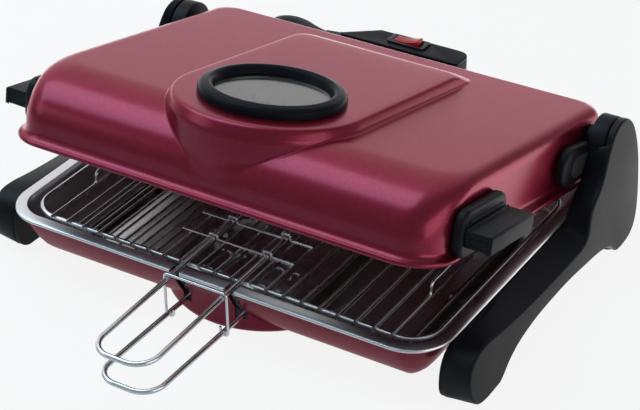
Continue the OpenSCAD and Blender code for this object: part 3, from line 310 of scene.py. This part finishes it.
def flake_paint():
    """Bright flakes in a darker ground, each with its own gloss, faint orange peel and slow clouds."""
    group = bpy.data.node_groups.new("flake_paint", "ShaderNodeTree")
    for label, start in (("Flake Scale", 5200.0), ("Peel Scale", 260.0), ("Flake Share", 0.35)):
        socket = group.interface.new_socket(label, in_out="INPUT", socket_type="NodeSocketFloat")
        socket.default_value = start
    for label in ("Ground", "Flake"):
        group.interface.new_socket(label, in_out="INPUT", socket_type="NodeSocketColor")
    group.interface.new_socket("Color", in_out="OUTPUT", socket_type="NodeSocketColor")
    for label in ("Metallic", "Roughness", "Height"):
        group.interface.new_socket(label, in_out="OUTPUT", socket_type="NodeSocketFloat")
    inp, out = group.nodes.new("NodeGroupInput"), group.nodes.new("NodeGroupOutput")
    n = nodes_in(
        group, where="TexCoord", flake="TexVoronoi", peel="TexNoise", cloud="TexNoise", split="SeparateColor",
        drift="MapRange", share="Math", lit="Math", rough="MapRange", metal="MapRange", blend="Mix")
    n.cloud.inputs["Scale"].default_value = 9
    n.cloud.inputs["Detail"].default_value = 3
    n.lit.operation = "LESS_THAN"
    n.blend.data_type = "RGBA"
    fade(n.rough, 0, 1, 0.4, 0.31)
    fade(n.metal, 0, 1, 0.8, 1.0)
    fade(n.drift, 0, 1, -0.12, 0.12)
    link_all(
        group,
        (n.where.outputs["Object"], n.flake.inputs["Vector"]),
        (n.where.outputs["Object"], n.peel.inputs["Vector"]),
        (n.where.outputs["Object"], n.cloud.inputs["Vector"]),
        (inp.outputs["Flake Scale"], n.flake.inputs["Scale"]),
        (inp.outputs["Peel Scale"], n.peel.inputs["Scale"]),
        (n.flake.outputs["Color"], n.split.inputs["Color"]),
        (n.cloud.outputs["Fac"], n.drift.inputs["Value"]),
        (n.drift.outputs["Result"], n.share.inputs[0]),
        (inp.outputs["Flake Share"], n.share.inputs[1]),
        (n.split.outputs["Red"], n.lit.inputs[0]),
        (n.share.outputs["Value"], n.lit.inputs[1]),
        (n.lit.outputs["Value"], n.blend.inputs["Factor"]),
        (n.lit.outputs["Value"], n.rough.inputs["Value"]),
        (n.lit.outputs["Value"], n.metal.inputs["Value"]),
        (inp.outputs["Ground"], n.blend.inputs["A"]),
        (inp.outputs["Flake"], n.blend.inputs["B"]),
        (n.blend.outputs["Result"], out.inputs["Color"]),
        (n.metal.outputs["Result"], out.inputs["Metallic"]),
        (n.rough.outputs["Result"], out.inputs["Roughness"]),
        (n.peel.outputs["Fac"], out.inputs["Height"]),
    )
    return group


paint_group = flake_paint()


def enamel(name, ground, flake, share, coat):
    """Wine-coloured flake enamel under a clear coat; ground and flake are its two colours."""
    look = bpy.data.materials.new(name)
    look.use_nodes = True
    tree = look.node_tree
    skin = tree.nodes["Principled BSDF"]
    skin.inputs["Specular IOR Level"].default_value = 0.2
    skin.inputs["Specular Tint"].default_value = (0.9, 0.35, 0.45, 1)
    skin.inputs["Coat Weight"].default_value = coat
    skin.inputs["Coat Roughness"].default_value = 0.2
    skin.inputs["Coat IOR"].default_value = 1.4
    n = nodes_in(tree, paint="Group", relief="Bump")
    n.paint.node_tree = paint_group
    n.paint.inputs["Ground"].default_value = (*ground, 1)
    n.paint.inputs["Flake"].default_value = (*flake, 1)
    n.paint.inputs["Flake Share"].default_value = share
    n.relief.inputs["Strength"].default_value = 0.03
    n.relief.inputs["Distance"].default_value = 0.0002
    link_all(
        tree,
        (n.paint.outputs["Color"], skin.inputs["Base Color"]),
        (n.paint.outputs["Metallic"], skin.inputs["Metallic"]),
        (n.paint.outputs["Roughness"], skin.inputs["Roughness"]),
        (n.paint.outputs["Height"], n.relief.inputs["Height"]),
        (n.relief.outputs["Normal"], skin.inputs["Normal"]),
    )
    return look


wine_pan = enamel("wine_pan_enamel", (0.13, 0.003, 0.016), (0.2, 0.012, 0.045), 0.3, 0.5)


def eased(name, nodes, look, body, width=0.0, sharp=30, steps=2):
    """A merged copy of CAD nodes with smooth curves, and with its sharp edges rounded by a width in mm."""
    for part in bpy.context.selected_objects:
        part.select_set(False)
    for node_name in nodes:
        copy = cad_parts[node_name].copy()
        copy.data = copy.data.copy()
        copy.parent = None
        copy.matrix_world = Matrix.Identity(4)
        bpy.context.collection.objects.link(copy)
        copy.hide_set(False)
        copy.select_set(True)
        bpy.context.view_layer.objects.active = copy
    if len(nodes) > 1:
        bpy.ops.object.join()
    piece = bpy.context.object
    piece.name = piece.data.name = name
    if piece.data.has_custom_normals:
        bpy.ops.mesh.customdata_custom_splitnormals_clear()
    bpy.ops.object.mode_set(mode="EDIT")
    bpy.ops.mesh.select_all(action="SELECT")
    bpy.ops.mesh.remove_doubles(threshold=0.000004)
    if width:
        bpy.ops.mesh.dissolve_limited(angle_limit=math.radians(0.6))
    bpy.ops.object.mode_set(mode="OBJECT")
    if width:
        ease = piece.modifiers.new("edge", "BEVEL")
        ease.width = width / 1000
        ease.segments = steps
        ease.limit_method = "ANGLE"
        ease.angle_limit = math.radians(sharp)
        ease.use_clamp_overlap = False
        ease.miter_outer = "MITER_ARC"
        bpy.ops.object.modifier_apply(modifier="edge")
    bpy.ops.object.shade_smooth_by_angle(angle=math.radians(sharp))
    piece.data.materials.clear()
    piece.data.materials.append(look)
    piece.select_set(False)
    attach(piece, body)
    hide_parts(*nodes)
    return piece


eased("pan_body", ["base_pan"], wine_pan, "grill", sharp=35)

# ---------------------------------------------------------------------------
# Drip tray: thin bright aluminium with a flat flange and a rolled edge.
# It hangs in the pan by its flange and is lifted out for washing.
# ---------------------------------------------------------------------------
tray_look = finish_of(
    "tray_aluminium", (0.74, 0.72, 0.75), (0.84, 0.82, 0.84), (0.26, 0.36), bump=0.05, cloud=22, Metallic=1.0)
eased("tray_body", ["drip_tray"], tray_look, "grill", sharp=35)

# ---------------------------------------------------------------------------
# Heating element: a steel-sheathed rod bent into a loop above the tray floor,
# darkened by heat, on sheet clips. Its two legs pass a steel plate at the rear
# and end in glazed insulators with brass tabs.
# ---------------------------------------------------------------------------
heater_look = finish_of(
    "heat_tinted_steel", (0.09, 0.08, 0.075), (0.2, 0.17, 0.15), (0.38, 0.55), grain=700, bump=0.15, cloud=40,
    Metallic=1.0)
zinc_look = finish_of(
    "zinc_plate", (0.46, 0.46, 0.45), (0.62, 0.62, 0.63), (0.28, 0.42), grain=500, bump=0.08, cloud=60,
    Metallic=1.0)
brass_look = finish_of(
    "bare_brass", (0.58, 0.40, 0.15), (0.72, 0.52, 0.24), (0.25, 0.4), grain=700, bump=0.06, cloud=80,
    Metallic=1.0)
ceramic_look = finish_of(
    "glazed_ceramic", (0.68, 0.65, 0.58), (0.8, 0.78, 0.72), (0.3, 0.45), grain=500, cloud=60)
put_on(heater_look, "heating_element")
put_on(zinc_look, "element_brackets", "element_flange")
put_on(ceramic_look, "terminal_insulators")
put_on(brass_look, "terminal_tabs")

# ---------------------------------------------------------------------------
# Side panels: hollow mouldings in fine-grained black plastic, closed on the
# inside by flat plates that the pan's studs are bolted through. Each stands on
# two round rubber feet.
# ---------------------------------------------------------------------------
plastic_look = finish_of(
    "satin_black_plastic", (0.005, 0.006, 0.009), (0.009, 0.009, 0.012), (0.40, 0.48), grain=1900, bump=0.3,
    cloud=18, depth=0.0001, Specular_IOR_Level=0.16)
rubber_look = finish_of("foot_rubber", (0.02, 0.02, 0.02), (0.034, 0.033, 0.032), (0.6, 0.75), bump=0.2)
# Coarser grain for outer faces; its colour, lighter than the satin black, is partly painted light from the
# side
grained_painted_side_light_look = finish_of(
    "grained_outer_plastic_painted_side_light", (0.026, 0.025, 0.026), (0.036, 0.035, 0.036), (0.5, 0.6), grain=1500, bump=0.45,
    depth=0.00012, Specular_IOR_Level=0.13)
# The tray's middle is behind the middle of the whole grill; outlines are in mm from it
tray_back = 32.0
hinge_y, hinge_z = 119.0, 91.0
# Side view from the front foot round the nose, along the beam, up and over the pillar
# and back under the arch: the outer face, and the edge beside the tray
outer_edge = [
    (-110, 1.6), (-121, 4.5), (-129.5, 14), (-132.6, 28), (-128.5, 39.5), (-117.5, 46), (-104, 46.6),
    (-88, 44.5), (-62, 41.8), (-30, 39.8), (5, 38.8), (30, 38.6), (47, 39.2), (55.5, 42.4), (59.2, 48.5),
    (61, 57), (67, 65.5), (77, 72.8), (84.5, 81), (90.5, 92), (97.5, 103), (105.5, 110.6), (115.5, 113.3),
    (126, 111.6), (134.5, 105.4), (140.5, 96.5), (144.8, 85.5), (147.8, 73.5), (149.4, 60), (149.9, 45),
    (149.3, 29), (146.3, 15.5), (139.5, 6), (127.5, 1.7), (112, 1.7), (105.5, 6.5), (98, 12.2), (87, 16.2),
    (72, 19), (52, 21), (25, 23.4), (-5, 23.8), (-32, 22.6), (-55, 18.8), (-70.5, 13), (-80, 6.5),
    (-86.5, 2.4), (-94, 1.6)]
inner_edge = [
    (-112, 1.6), (-121.9, 3.4), (-129.9, 10.5), (-131.6, 24), (-127.2, 38.3), (-119, 44.6), (-105, 47.4),
    (-88, 47.4), (-62, 47.4), (-30, 47.4), (5, 47.4), (30, 47.4), (46, 47.4), (57, 47.4), (60, 50.5),
    (63, 56), (70, 63), (80, 70.5), (88, 79), (94, 89), (99, 98.5), (105, 107.4), (114, 112.4),
    (124.5, 111.8), (133.1, 106.6), (138.8, 99), (141.5, 87), (144.5, 74), (147, 60), (148, 47), (148.2, 30),
    (145, 16), (138.5, 6.5), (127, 1.7), (112, 1.7), (105.5, 6), (98, 11), (87, 14.5), (72, 17), (52, 18.6),
    (25, 20), (-5, 20.4), (-32, 19.6), (-55, 16.6), (-70.5, 11.6), (-80, 6), (-86.5, 2.4), (-94, 1.6)]
steps_between = 4
socket_from, socket_to, socket_r = 20, 25, 22.6
panel_in_x, socket_floor_x, panel_out_x, panel_lean = 190.55, 201.9, 214.25, 0.05
inner_r, inner_step, outer_r = 0.8, 0.25, 1.8
# Faces further out than this, in m, belong to the outer side of a panel or grip
outside_x = 0.2


def smooth_ring(stations):
    """Closed smooth curve through the stations, with the same number of points between each two."""
    ring = []
    pts = np.array(stations, float)
    for i in range(len(pts)):
        before, here, after, later = (pts[(i + k) % len(pts)] for k in (-1, 0, 1, 2))
        slope = after - before
        bend = 2 * before - 5 * here + 4 * after - later
        twist = 3 * here - before - 3 * after + later
        for k in range(steps_between):
            t = k / steps_between
            ring.append(0.5 * (2 * here + slope * t + bend * t * t + twist * t ** 3))
    return np.array(ring)


def set_in(ring, by):
    """The ring moved inwards by a distance, along its own normals."""
    along = np.roll(ring, -1, axis=0) - np.roll(ring, 1, axis=0)
    along /= np.linalg.norm(along, axis=1)[:, None]
    return ring + by * np.column_stack([along[:, 1], -along[:, 0]])


def built_piece(name, points, faces):
    """A new object in metres from points and faces, with its faces turned outwards; it stays selected."""
    mesh = bpy.data.meshes.new(name)
    mesh.from_pydata(points, [], faces)
    piece = bpy.data.objects.new(name, mesh)
    bpy.context.collection.objects.link(piece)
    bpy.context.view_layer.objects.active = piece
    piece.select_set(True)
    bpy.ops.object.mode_set(mode="EDIT")
    bpy.ops.mesh.select_all(action="SELECT")
    bpy.ops.mesh.normals_make_consistent(inside=False)
    bpy.ops.object.mode_set(mode="OBJECT")
    return piece


outer_ring, inner_ring = smooth_ring(outer_edge), smooth_ring(inner_edge)
points_round = len(outer_ring)
first, last = socket_from * steps_between, socket_to * steps_between
in_socket = np.zeros(points_round, bool)
in_socket[first:last + 1] = True
in_x = np.where(in_socket, socket_floor_x, panel_in_x)
out_x = panel_out_x - panel_lean * outer_ring[:, 1]
# Rings of points from the tray's side outwards, with both edges rounded
rings = [
    (in_x, set_in(inner_ring, inner_r)),
    (in_x + inner_step, set_in(inner_ring, inner_step)),
    (in_x + inner_r, inner_ring)]
for k in (0.2, 0.4, 0.6, 0.8):
    rings.append((
        in_x + inner_r + (out_x - outer_r - in_x - inner_r) * k, inner_ring + (outer_ring - inner_ring) * k))
for a in np.linspace(0, math.pi / 2, 6):
    rings.append((out_x - outer_r * (1 - math.sin(a)), set_in(outer_ring, outer_r * (1 - math.cos(a)))))
# The lower rim of the round socket that the hinge arm turns in
ends = [math.atan2(z - hinge_z, y - hinge_y) for y, z in (rings[0][1][first], rings[0][1][last])]
socket_rim = [
    (hinge_y + socket_r * math.cos(a), hinge_z + socket_r * math.sin(a))
    for a in np.linspace(ends[0], ends[1] + 2 * math.pi, 34)[1:-1]]
for side, name in ((-1, "left"), (1, "right")):
    panel_points = [
        (side * x / 1000, (y + tray_back) / 1000, z / 1000)
        for xs, ring in rings for x, (y, z) in zip(xs, ring)]
    for x in (panel_in_x, socket_floor_x):
        panel_points += [(side * x / 1000, (y + tray_back) / 1000, z / 1000) for y, z in socket_rim]
    panel_faces = [
        (j * points_round + i, j * points_round + (i + 1) % points_round,
         (j + 1) * points_round + (i + 1) % points_round, (j + 1) * points_round + i)
        for j in range(len(rings) - 1) for i in range(points_round)]
    panel_faces.append(tuple(range((len(rings) - 1) * points_round, len(rings) * points_round)))
    # The inner side is closed by its flat face, the socket's floor and the socket's wall
    low = list(range(len(rings) * points_round, len(rings) * points_round + len(socket_rim)))
    high = [i + len(socket_rim) for i in low]
    panel_faces.append(tuple(range(last + 1, points_round)) + tuple(range(0, first)) + tuple(low))
    panel_faces.append(tuple(range(first, last + 1)) + tuple(high[::-1]))
    rim_low, rim_high = [first - 1] + low + [last + 1], [first] + high + [last]
    for i in range(len(rim_low) - 1):
        panel_faces.append((rim_low[i], rim_low[i + 1], rim_high[i + 1], rim_high[i]))
    panel = built_piece("panel_" + name, panel_points, panel_faces)
    bpy.ops.object.shade_smooth_by_angle(angle=math.radians(40))
    panel.data.materials.append(plastic_look)
    panel.data.materials.append(grained_painted_side_light_look)
    # Only the flat outer face has the coarser grain, and a lighter colour that is partly painted side light
    for face in panel.data.polygons:
        face.material_index = int(face.normal.x * side > 0.985 and face.center.x * side > outside_x)
    panel.select_set(False)
    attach(panel, "grill")
    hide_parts("side_panel_" + name)
put_on(plastic_look, "side_inner_left", "side_inner_right")
put_on(rubber_look, "rubber_feet")
put_on(zinc_look, "panel_nuts")

# ---------------------------------------------------------------------------
# Hinge: a headed steel pin pressed into the round top of each panel, and a
# brass bush in the lid's arm that turns on it.
# ---------------------------------------------------------------------------
put_on(zinc_look, "hinge_pin_left", "hinge_pin_right")
put_on(brass_look, "hinge_bush_left", "hinge_bush_right")

# ---------------------------------------------------------------------------
# Control box: two black mouldings screwed together from below, with a red
# rocker in a snap-in body. Inside are the thermal fuse and the insulated leads.
# ---------------------------------------------------------------------------
eased("control_case", ["control_housing"], plastic_look, "grill", width=0.5, sharp=28)
eased("control_lid", ["control_cover"], plastic_look, "grill", width=0.8, sharp=28, steps=3)
switch_look = finish_of(
    "switch_black", (0.014, 0.014, 0.016), (0.022, 0.022, 0.024), (0.26, 0.34), bump=0.08)
red_look = finish_of(
    "red_rocker_plastic", (0.50, 0.006, 0.012), (0.60, 0.012, 0.02), (0.2, 0.28), bump=0.03)
lead_look = finish_of("silicone_sleeve", (0.03, 0.06, 0.25), (0.04, 0.08, 0.3), (0.4, 0.5))
eased("switch_frame", ["rocker_switch_body"], switch_look, "grill", width=0.3, sharp=28)
eased("rocker_cap", ["rocker"], red_look, "rocker_key", width=0.4, sharp=28)
put_on(ceramic_look, "thermal_fuse")
put_on(lead_look, "wire_leads")
put_on(zinc_look, "cover_screws", "plug_pins")

# ---------------------------------------------------------------------------
# Wire basket: spot-welded chromed steel. Two frames of 4 mm wire carry thin
# rods, thin guides hold the handles, and two loops join the frames at the rear.
# ---------------------------------------------------------------------------
chrome_look = finish_of(
    "chromed_wire", (0.74, 0.74, 0.76), (0.84, 0.84, 0.86), (0.2, 0.28), bump=0.03, cloud=90, Metallic=1.0)
put_on(chrome_look, "basket_upper_frame", "basket_upper_rods", "basket_upper_guides", "basket_lower_frame",
       "basket_lower_rods", "basket_lower_guides", "basket_hinge")

# ---------------------------------------------------------------------------
# Handles: two long loops of chromed wire that slide under the guides, and a
# thin bail that slips over them to lock the basket shut.
# ---------------------------------------------------------------------------
put_on(chrome_look, "upper_handle", "lower_handle", "bail_lock")

# ---------------------------------------------------------------------------
# Lid: one pressing of steel sheet in wine-coloured flake enamel.
# The raised middle runs out over the front as a rounded prow, and the edge is
# turned outwards and rolled. It is drawn shut, in mm, and then set ajar.
# ---------------------------------------------------------------------------
sheet_t = 1.4
lid_top, raised_top, wall_foot = 110.0, 118.0, 66.0
prow_centre, prow_r, hole_r = -58.0, 76.0, 48.5
ajar = math.radians(12.5)
side_x, front_y, rear_y = 180.0, -134.6, 147.0
flange_x, flange_front_y, flange_rear_y = 186.0, -140.0, 152.0
corner_wide, corner_deep, corner_r = 28.0, 30.0, 16.0
skin_from = 72.0


def lid_outline(z):
    """Half width, front, rear, and the corner sizes of the plain lid at a height."""
    def rolled(across, down):
        t = np.clip((z - lid_top + down) / down, 0, 1)
        return across * (1 - np.sqrt(1 - t * t))
    over = rolled(50, 38)
    half, front, rear = side_x - rolled(9, 10), front_y + over, rear_y - rolled(7, 7)
    return half, front, rear, corner_wide - 0.1 * over, corner_deep, corner_r


def under_skin(x, y, z):
    """Whether a place is inside the plain lid's outline at a height."""
    half, front, rear, wide, deep, r = lid_outline(z)
    ok = (x <= half) & (y >= front) & (y <= rear)
    a, b = (x - half + wide) / wide, (front + deep - y) / deep
    ok &= ~((a > 0) & (b > 0) & (a * a + b * b > 1))
    a, b = (x - half + r) / r, (y - rear + r) / r
    return ok & ~((a > 0) & (b > 0) & (a * a + b * b > 1))


def skin_height(x, y):
    """Height of the plain lid's skin over a place, found by halving."""
    low, high = np.full_like(x, skin_from), np.full_like(x, lid_top)
    flat = under_skin(x, y, high)
    for _ in range(34):
        mid = (low + high) / 2
        ok = under_skin(x, y, mid)
        low, high = np.where(ok, mid, low), np.where(ok, high, mid)
    return np.where(flat, lid_top, low)


# Wall of the raised middle: height, half width, rear edge
raised_wall = np.array([
    (118.0, 71.0, 97.0), (117.95, 72.0, 98.6), (117.7, 73.0, 100.6), (117.2, 73.8, 103.0),
    (116.4, 74.4, 106.0), (115.2, 75.0, 109.4), (113.6, 75.7, 113.2), (111.6, 76.5, 117.6),
    (110.0, 77.2, 121.0), (108.0, 77.5, 123.0), (96.0, 77.3, 123.0), (84.0, 76.6, 123.0),
    (72.0, 76.0, 123.0)])


def raised_point(u, z):
    """A point of the raised middle's wall: u runs 0-1 round the prow, 1-2 side, 2-3 rear corner, 3-4 rear."""
    r = np.interp(-z, -raised_wall[:, 0], raised_wall[:, 1])
    rear = np.interp(-z, -raised_wall[:, 0], raised_wall[:, 2])
    turn = 12.0
    a = np.radians(90 * np.clip(u, 0, 1))
    x, y = r * np.sin(a), prow_centre - r * np.cos(a)
    x = np.where(u > 1, r, x)
    y = np.where(u > 1, prow_centre + (u - 1) * (rear - turn - prow_centre), y)
    a = np.radians(90 * np.clip(u - 2, 0, 1))
    x = np.where(u > 2, r - turn + turn * np.cos(a), x)
    y = np.where(u > 2, rear - turn + turn * np.sin(a), y)
    return np.where(u > 3, (r - turn) * (4 - u), x), y


# Foot of the wall round the right half: x, y, the same with the flange, and u
front_corner_x, front_corner_y, flange_corner_y = side_x - corner_wide, front_y + corner_deep, -104.0
rear_corner_x, rear_corner_y = side_x - corner_r, rear_y - corner_r
foot_line = []
for x in np.linspace(0, front_corner_x, 53)[:-1]:
    foot_line.append((x, front_y, x, flange_front_y, math.degrees(math.atan2(x, prow_r)) / 90))
for t in np.linspace(0, 1, 25)[:-1]:
    c, s = math.cos(math.pi / 2 * t), math.sin(math.pi / 2 * t)
    foot_line.append((
        front_corner_x + corner_wide * s, front_corner_y - corner_deep * c,
        front_corner_x + (flange_x - front_corner_x) * s,
        flange_corner_y + (flange_front_y - flange_corner_y) * c, 0.7048 + 0.0952 * t))
for y in np.linspace(front_corner_y, rear_corner_y, 61)[:-1]:
    u = float(np.interp(y, [front_corner_y, prow_centre, 95, rear_corner_y], [0.8, 1, 2, 2.4]))
    foot_line.append((side_x, y, flange_x, y, u))
for t in np.linspace(0, 1, 17)[:-1]:
    c, s = math.cos(math.pi / 2 * t), math.sin(math.pi / 2 * t)
    foot_line.append((
        rear_corner_x + corner_r * c, rear_corner_y + corner_r * s,
        rear_corner_x + (flange_x - rear_corner_x) * c,
        rear_corner_y + (flange_rear_y - rear_corner_y) * s, 2.4 + 0.3 * t))
for x in np.linspace(rear_corner_x, 0, 50):
    u = float(np.interp(-x, [-rear_corner_x, -64, 0], [2.7, 3, 4]))
    foot_line.append((x, rear_y, x, flange_rear_y, u))


def arc_points(reach, height, r, degrees):
    """Points of a round stretch of the rolled edge: reach beyond the wall, and height."""
    return [(reach + r * math.cos(a), height + r * math.sin(a)) for a in np.radians(degrees)]


# Rolled edge: share of the flange's reach, height. It is higher and reaches less far at the rear
flange_reach, rear_reach, rear_rise = 6, 0.3, 8
hollow = arc_points(4.8, 65.2, 4.8, range(190, 256, 13))
bead = arc_points(3.9, 58.2, 2.1, range(90, -121, -15))
rolled_edge = [(d / flange_reach, z) for d, z in hollow + bead]

# Where the raised middle's wall comes down on the plain lid, for every column
foot = np.array(foot_line)
z_low, z_high = np.full(len(foot), skin_from), np.full(len(foot), raised_top - 0.5)
for _ in range(24):
    z = (z_low + z_high) / 2
    above = z > skin_height(*raised_point(foot[:, 4], z))
    z_low, z_high = np.where(above, z_low, z), np.where(above, z, z_high)

columns = []
for (fx, fy, ox, oy, u), z_meet in zip(foot_line, z_high):
    # Section through the sheet: down the raised wall, along the plain skin, and down to the foot
    down = np.concatenate([np.linspace(raised_top, 116, 14), np.linspace(116, z_meet, 40)[1:]])
    wall = np.column_stack([*raised_point(np.full(len(down), u), down), down])
    t = 1 - (1 - np.linspace(0, 1, 260)[1:]) ** 2
    px, py = wall[-1, 0] + (fx - wall[-1, 0]) * t, wall[-1, 1] + (fy - wall[-1, 1]) * t
    pz = np.minimum(skin_height(px, py), z_meet + 400 * t)
    raise_by = rear_rise * float(np.interp(fy, [122, 136], [0, 1]))
    line = np.concatenate([wall, np.column_stack([px, py, pz]), [[fx, fy, wall_foot + raise_by]]])
    step = np.linalg.norm(np.diff(line, axis=0), axis=1)
    line = line[np.concatenate([[True], step > 1e-6])]
    # Its points are spread evenly and summed up, for a mean over any stretch of it
    s = np.concatenate([[0], np.cumsum(np.linalg.norm(np.diff(line, axis=0), axis=1))])
    s_meet = float(np.sum(np.linalg.norm(np.diff(wall, axis=0), axis=1)))
    fine = np.append(np.arange(0, s[-1], 0.25), s[-1])
    even = np.column_stack([np.interp(fine, s, line[:, i]) for i in range(3)])
    strips = (even[1:] + even[:-1]) / 2 * np.diff(fine)[:, None]
    total = np.concatenate([[np.zeros(3)], np.cumsum(strips, axis=0)])
    # The foot is a crisp crease beside the prow, and melts into the front wall under it
    soft = float(np.interp(u * 90, [0, 12, 17, 22, 60, 90], [15, 15, 8, 1.8, 1.8, 3.2]))
    reach = min(soft + 1, s[-1] - s_meet - 0.5)
    rows = np.concatenate([
        np.linspace(0, s_meet - reach, 16)[:-1], np.linspace(s_meet - reach, s_meet + reach, 14)[:-1],
        np.linspace(s_meet + reach, s[-1], 46)])
    half_window = np.clip(min(soft, reach) - np.abs(rows - s_meet) * 0.8, 0.02, None)
    a, b = np.clip(rows - half_window, 0, s[-1]), np.clip(rows + half_window, 0, s[-1])
    points = np.column_stack([
        (np.interp(b, fine, total[:, i]) - np.interp(a, fine, total[:, i])) / (b - a) for i in range(3)])
    # Flat top from the window's hole to the raised wall, and the rolled edge at the foot
    around = math.atan2(wall[0, 0], prow_centre - wall[0, 1])
    inner = [(
        hole_r * math.sin(around) + (wall[0, 0] - hole_r * math.sin(around)) * k,
        prow_centre - hole_r * math.cos(around) + (wall[0, 1] - prow_centre + hole_r * math.cos(around)) * k,
        raised_top) for k in (0, 0.3, 0.6, 0.85)]
    out = 1 - (1 - rear_reach) * float(np.interp(fy, [118, 136], [0, 1]))
    edge = [(fx + (ox - fx) * d * out, fy + (oy - fy) * d * out, z + raise_by) for d, z in rolled_edge]
    columns.append(np.concatenate([np.array(inner), points, np.array(edge)]))


def set_ajar(y, z):
    """Turns y and z of the shut lid about the hinge pins, to where it rests ajar in the whole grill."""
    dy, dz = y - hinge_y, z - hinge_z
    return (
        hinge_y + dy * math.cos(ajar) + dz * math.sin(ajar) + tray_back,
        hinge_z - dy * math.sin(ajar) + dz * math.cos(ajar))


half_lid = np.array(columns)
left_half = half_lid[-2:0:-1].copy()
left_half[:, :, 0] *= -1
full_lid = np.concatenate([half_lid, left_half])
count, rows = full_lid.shape[:2]
flat = full_lid.reshape(-1, 3)
lid_points = np.column_stack([flat[:, 0], *set_ajar(flat[:, 1], flat[:, 2])]) / 1000
lid_faces = [
    (i * rows + j, ((i + 1) % count) * rows + j, ((i + 1) % count) * rows + j + 1, i * rows + j + 1)
    for i in range(count) for j in range(rows - 1)]
lid = built_piece("lid_pressing", lid_points.tolist(), lid_faces)
thick = lid.modifiers.new("sheet", "SOLIDIFY")
thick.thickness = sheet_t / 1000
thick.offset = -1
thick.use_even_offset = True
bpy.ops.object.modifier_apply(modifier="sheet")
bpy.ops.object.shade_smooth_by_angle(angle=math.radians(50))
wine_lid = enamel("wine_lid_enamel", (0.22, 0.007, 0.026), (0.31, 0.022, 0.066), 0.35, 0.7)
lid.data.materials.append(wine_lid)
lid.select_set(False)
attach(lid, "lid")
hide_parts("lid_shell")

# ---------------------------------------------------------------------------
# Window: a flat pane of tempered glass on a gasket, held from below by a sheet
# ring and six screws into the deep black ring above.
# ---------------------------------------------------------------------------
ring_look = finish_of(
    "gloss_black_ring", (0.006, 0.007, 0.010), (0.011, 0.012, 0.015), (0.30, 0.38), grain=700, bump=0.05,
    Specular_IOR_Level=0.06)
clamp_look = finish_of(
    "clamp_aluminium", (0.5, 0.5, 0.5), (0.62, 0.62, 0.62), (0.3, 0.4), grain=700, bump=0.05, Metallic=1.0)
glass_look = finish_of(
    "window_glass", (0.47, 0.485, 0.465), (0.53, 0.545, 0.525), (0.02, 0.04), grain=500, bump=0.0,
    Transmission_Weight=1.0, IOR=1.5)
eased("window_ring", ["window_bezel"], ring_look, "lid", sharp=50)
put_on(glass_look, "window_glass")
put_on(rubber_look, "window_gasket")
put_on(clamp_look, "window_clamp")
put_on(zinc_look, "clamp_screws")

# ---------------------------------------------------------------------------
# Side grips: a hollow ledge moulded on each side, screwed to the lid's wall
# from inside through a thick base.
# ---------------------------------------------------------------------------


def outline_round(discs):
    """Closed outline stretched round discs that are given as centre y, z and radius in mm."""
    outline = []
    for a in np.linspace(0, 2 * math.pi, 121)[:-1]:
        y, z, r = max(discs, key=lambda d: d[0] * math.cos(a) + d[1] * math.sin(a) + d[2])
        outline.append((y + r * math.cos(a), z + r * math.sin(a)))
    return outline


def side_block(name, side, outline, x_from, x_to, edge, look, node):
    """A block on the lid's side wall, drawn with the lid shut, with rounded edges."""
    out = 1 if side == "right" else -1
    bpy.ops.mesh.primitive_circle_add(vertices=len(outline), fill_type="NGON")
    block = bpy.context.object
    block.name = block.data.name = f"{name}_{side}"
    for corner, (y, z) in zip(block.data.vertices, outline):
        corner.co = Vector((out * x_from, *set_ajar(y, z))) / 1000
    bpy.ops.object.mode_set(mode="EDIT")
    bpy.ops.mesh.select_all(action="SELECT")
    bpy.ops.mesh.extrude_region_move(TRANSFORM_OT_translate={"value": (out * (x_to - x_from) / 1000, 0, 0)})
    bpy.ops.mesh.select_all(action="SELECT")
    bpy.ops.mesh.normals_make_consistent(inside=False)
    bpy.ops.object.mode_set(mode="OBJECT")
    soft_rim = block.modifiers.new("rim", "BEVEL")
    soft_rim.width = edge / 1000
    soft_rim.segments = 4
    soft_rim.limit_method = "ANGLE"
    bpy.ops.object.modifier_apply(modifier="rim")
    bpy.ops.object.shade_smooth_by_angle(angle=math.radians(30))
    block.data.materials.append(look)
    block.select_set(False)
    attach(block, "lid")
    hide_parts(f"{node}_{side}")


wall_x = 180.1
seat_line = outline_round([(-97, 69, 11), (-51, 69, 11), (-51, 83, 11), (-97, 83, 11)])
rib_line = outline_round([(-99, 85.6, 0.8), (-48, 85.6, 0.8)])
for side in ("left", "right"):
    ledge = eased(
        "grip_" + side, ["lid_grip_" + side], plastic_look, "lid",
        width=0.6, sharp=28, steps=3)
    # The ledge's outer face gets the coarser grain and a lighter colour that is partly painted side light
    ledge.data.materials.append(grained_painted_side_light_look)
    for face in ledge.data.polygons:
        face.material_index = int(abs(face.normal.x) > 0.8 and abs(face.center.x) > outside_x)
    side_block("grip_seat", side, seat_line, wall_x, 189.0, 3.0, plastic_look, "grip_base")
    side_block("grip_rib", side, rib_line, 188.0, 190.0, 0.5, plastic_look, "grip_base")
put_on(zinc_look, "grip_screws")

# ---------------------------------------------------------------------------
# Hinge arms: black mouldings with a rounded pad screwed to the lid's wall, a
# raised panel on the pad, and a round lobe on the pin.
# ---------------------------------------------------------------------------
pad_line = outline_round([(73, 79.5, 15.5), (99, 78.5, 14.5)])
panel_line = outline_round([(79, 79, 8.5), (100, 78, 8.5)])
boss_line = outline_round([(hinge_y, hinge_z, 10)])
lobe_line = outline_round([(hinge_y, hinge_z, 21.3)])
for side in ("left", "right"):
    side_block("arm_pad", side, pad_line, wall_x, 188.8, 2.6, plastic_look, "hinge_arm")
    # The raised panel is grained, and its lighter colour is partly painted side light
    side_block("arm_panel", side, panel_line, 188.0, 190.2, 0.9, grained_painted_side_light_look, "hinge_arm")
    side_block("arm_boss", side, boss_line, wall_x, 188.0, 0.5, plastic_look, "hinge_arm")
    side_block("arm_lobe", side, lobe_line, 187.2, 201.2, 1.8, plastic_look, "hinge_arm")
put_on(zinc_look, "arm_screws")
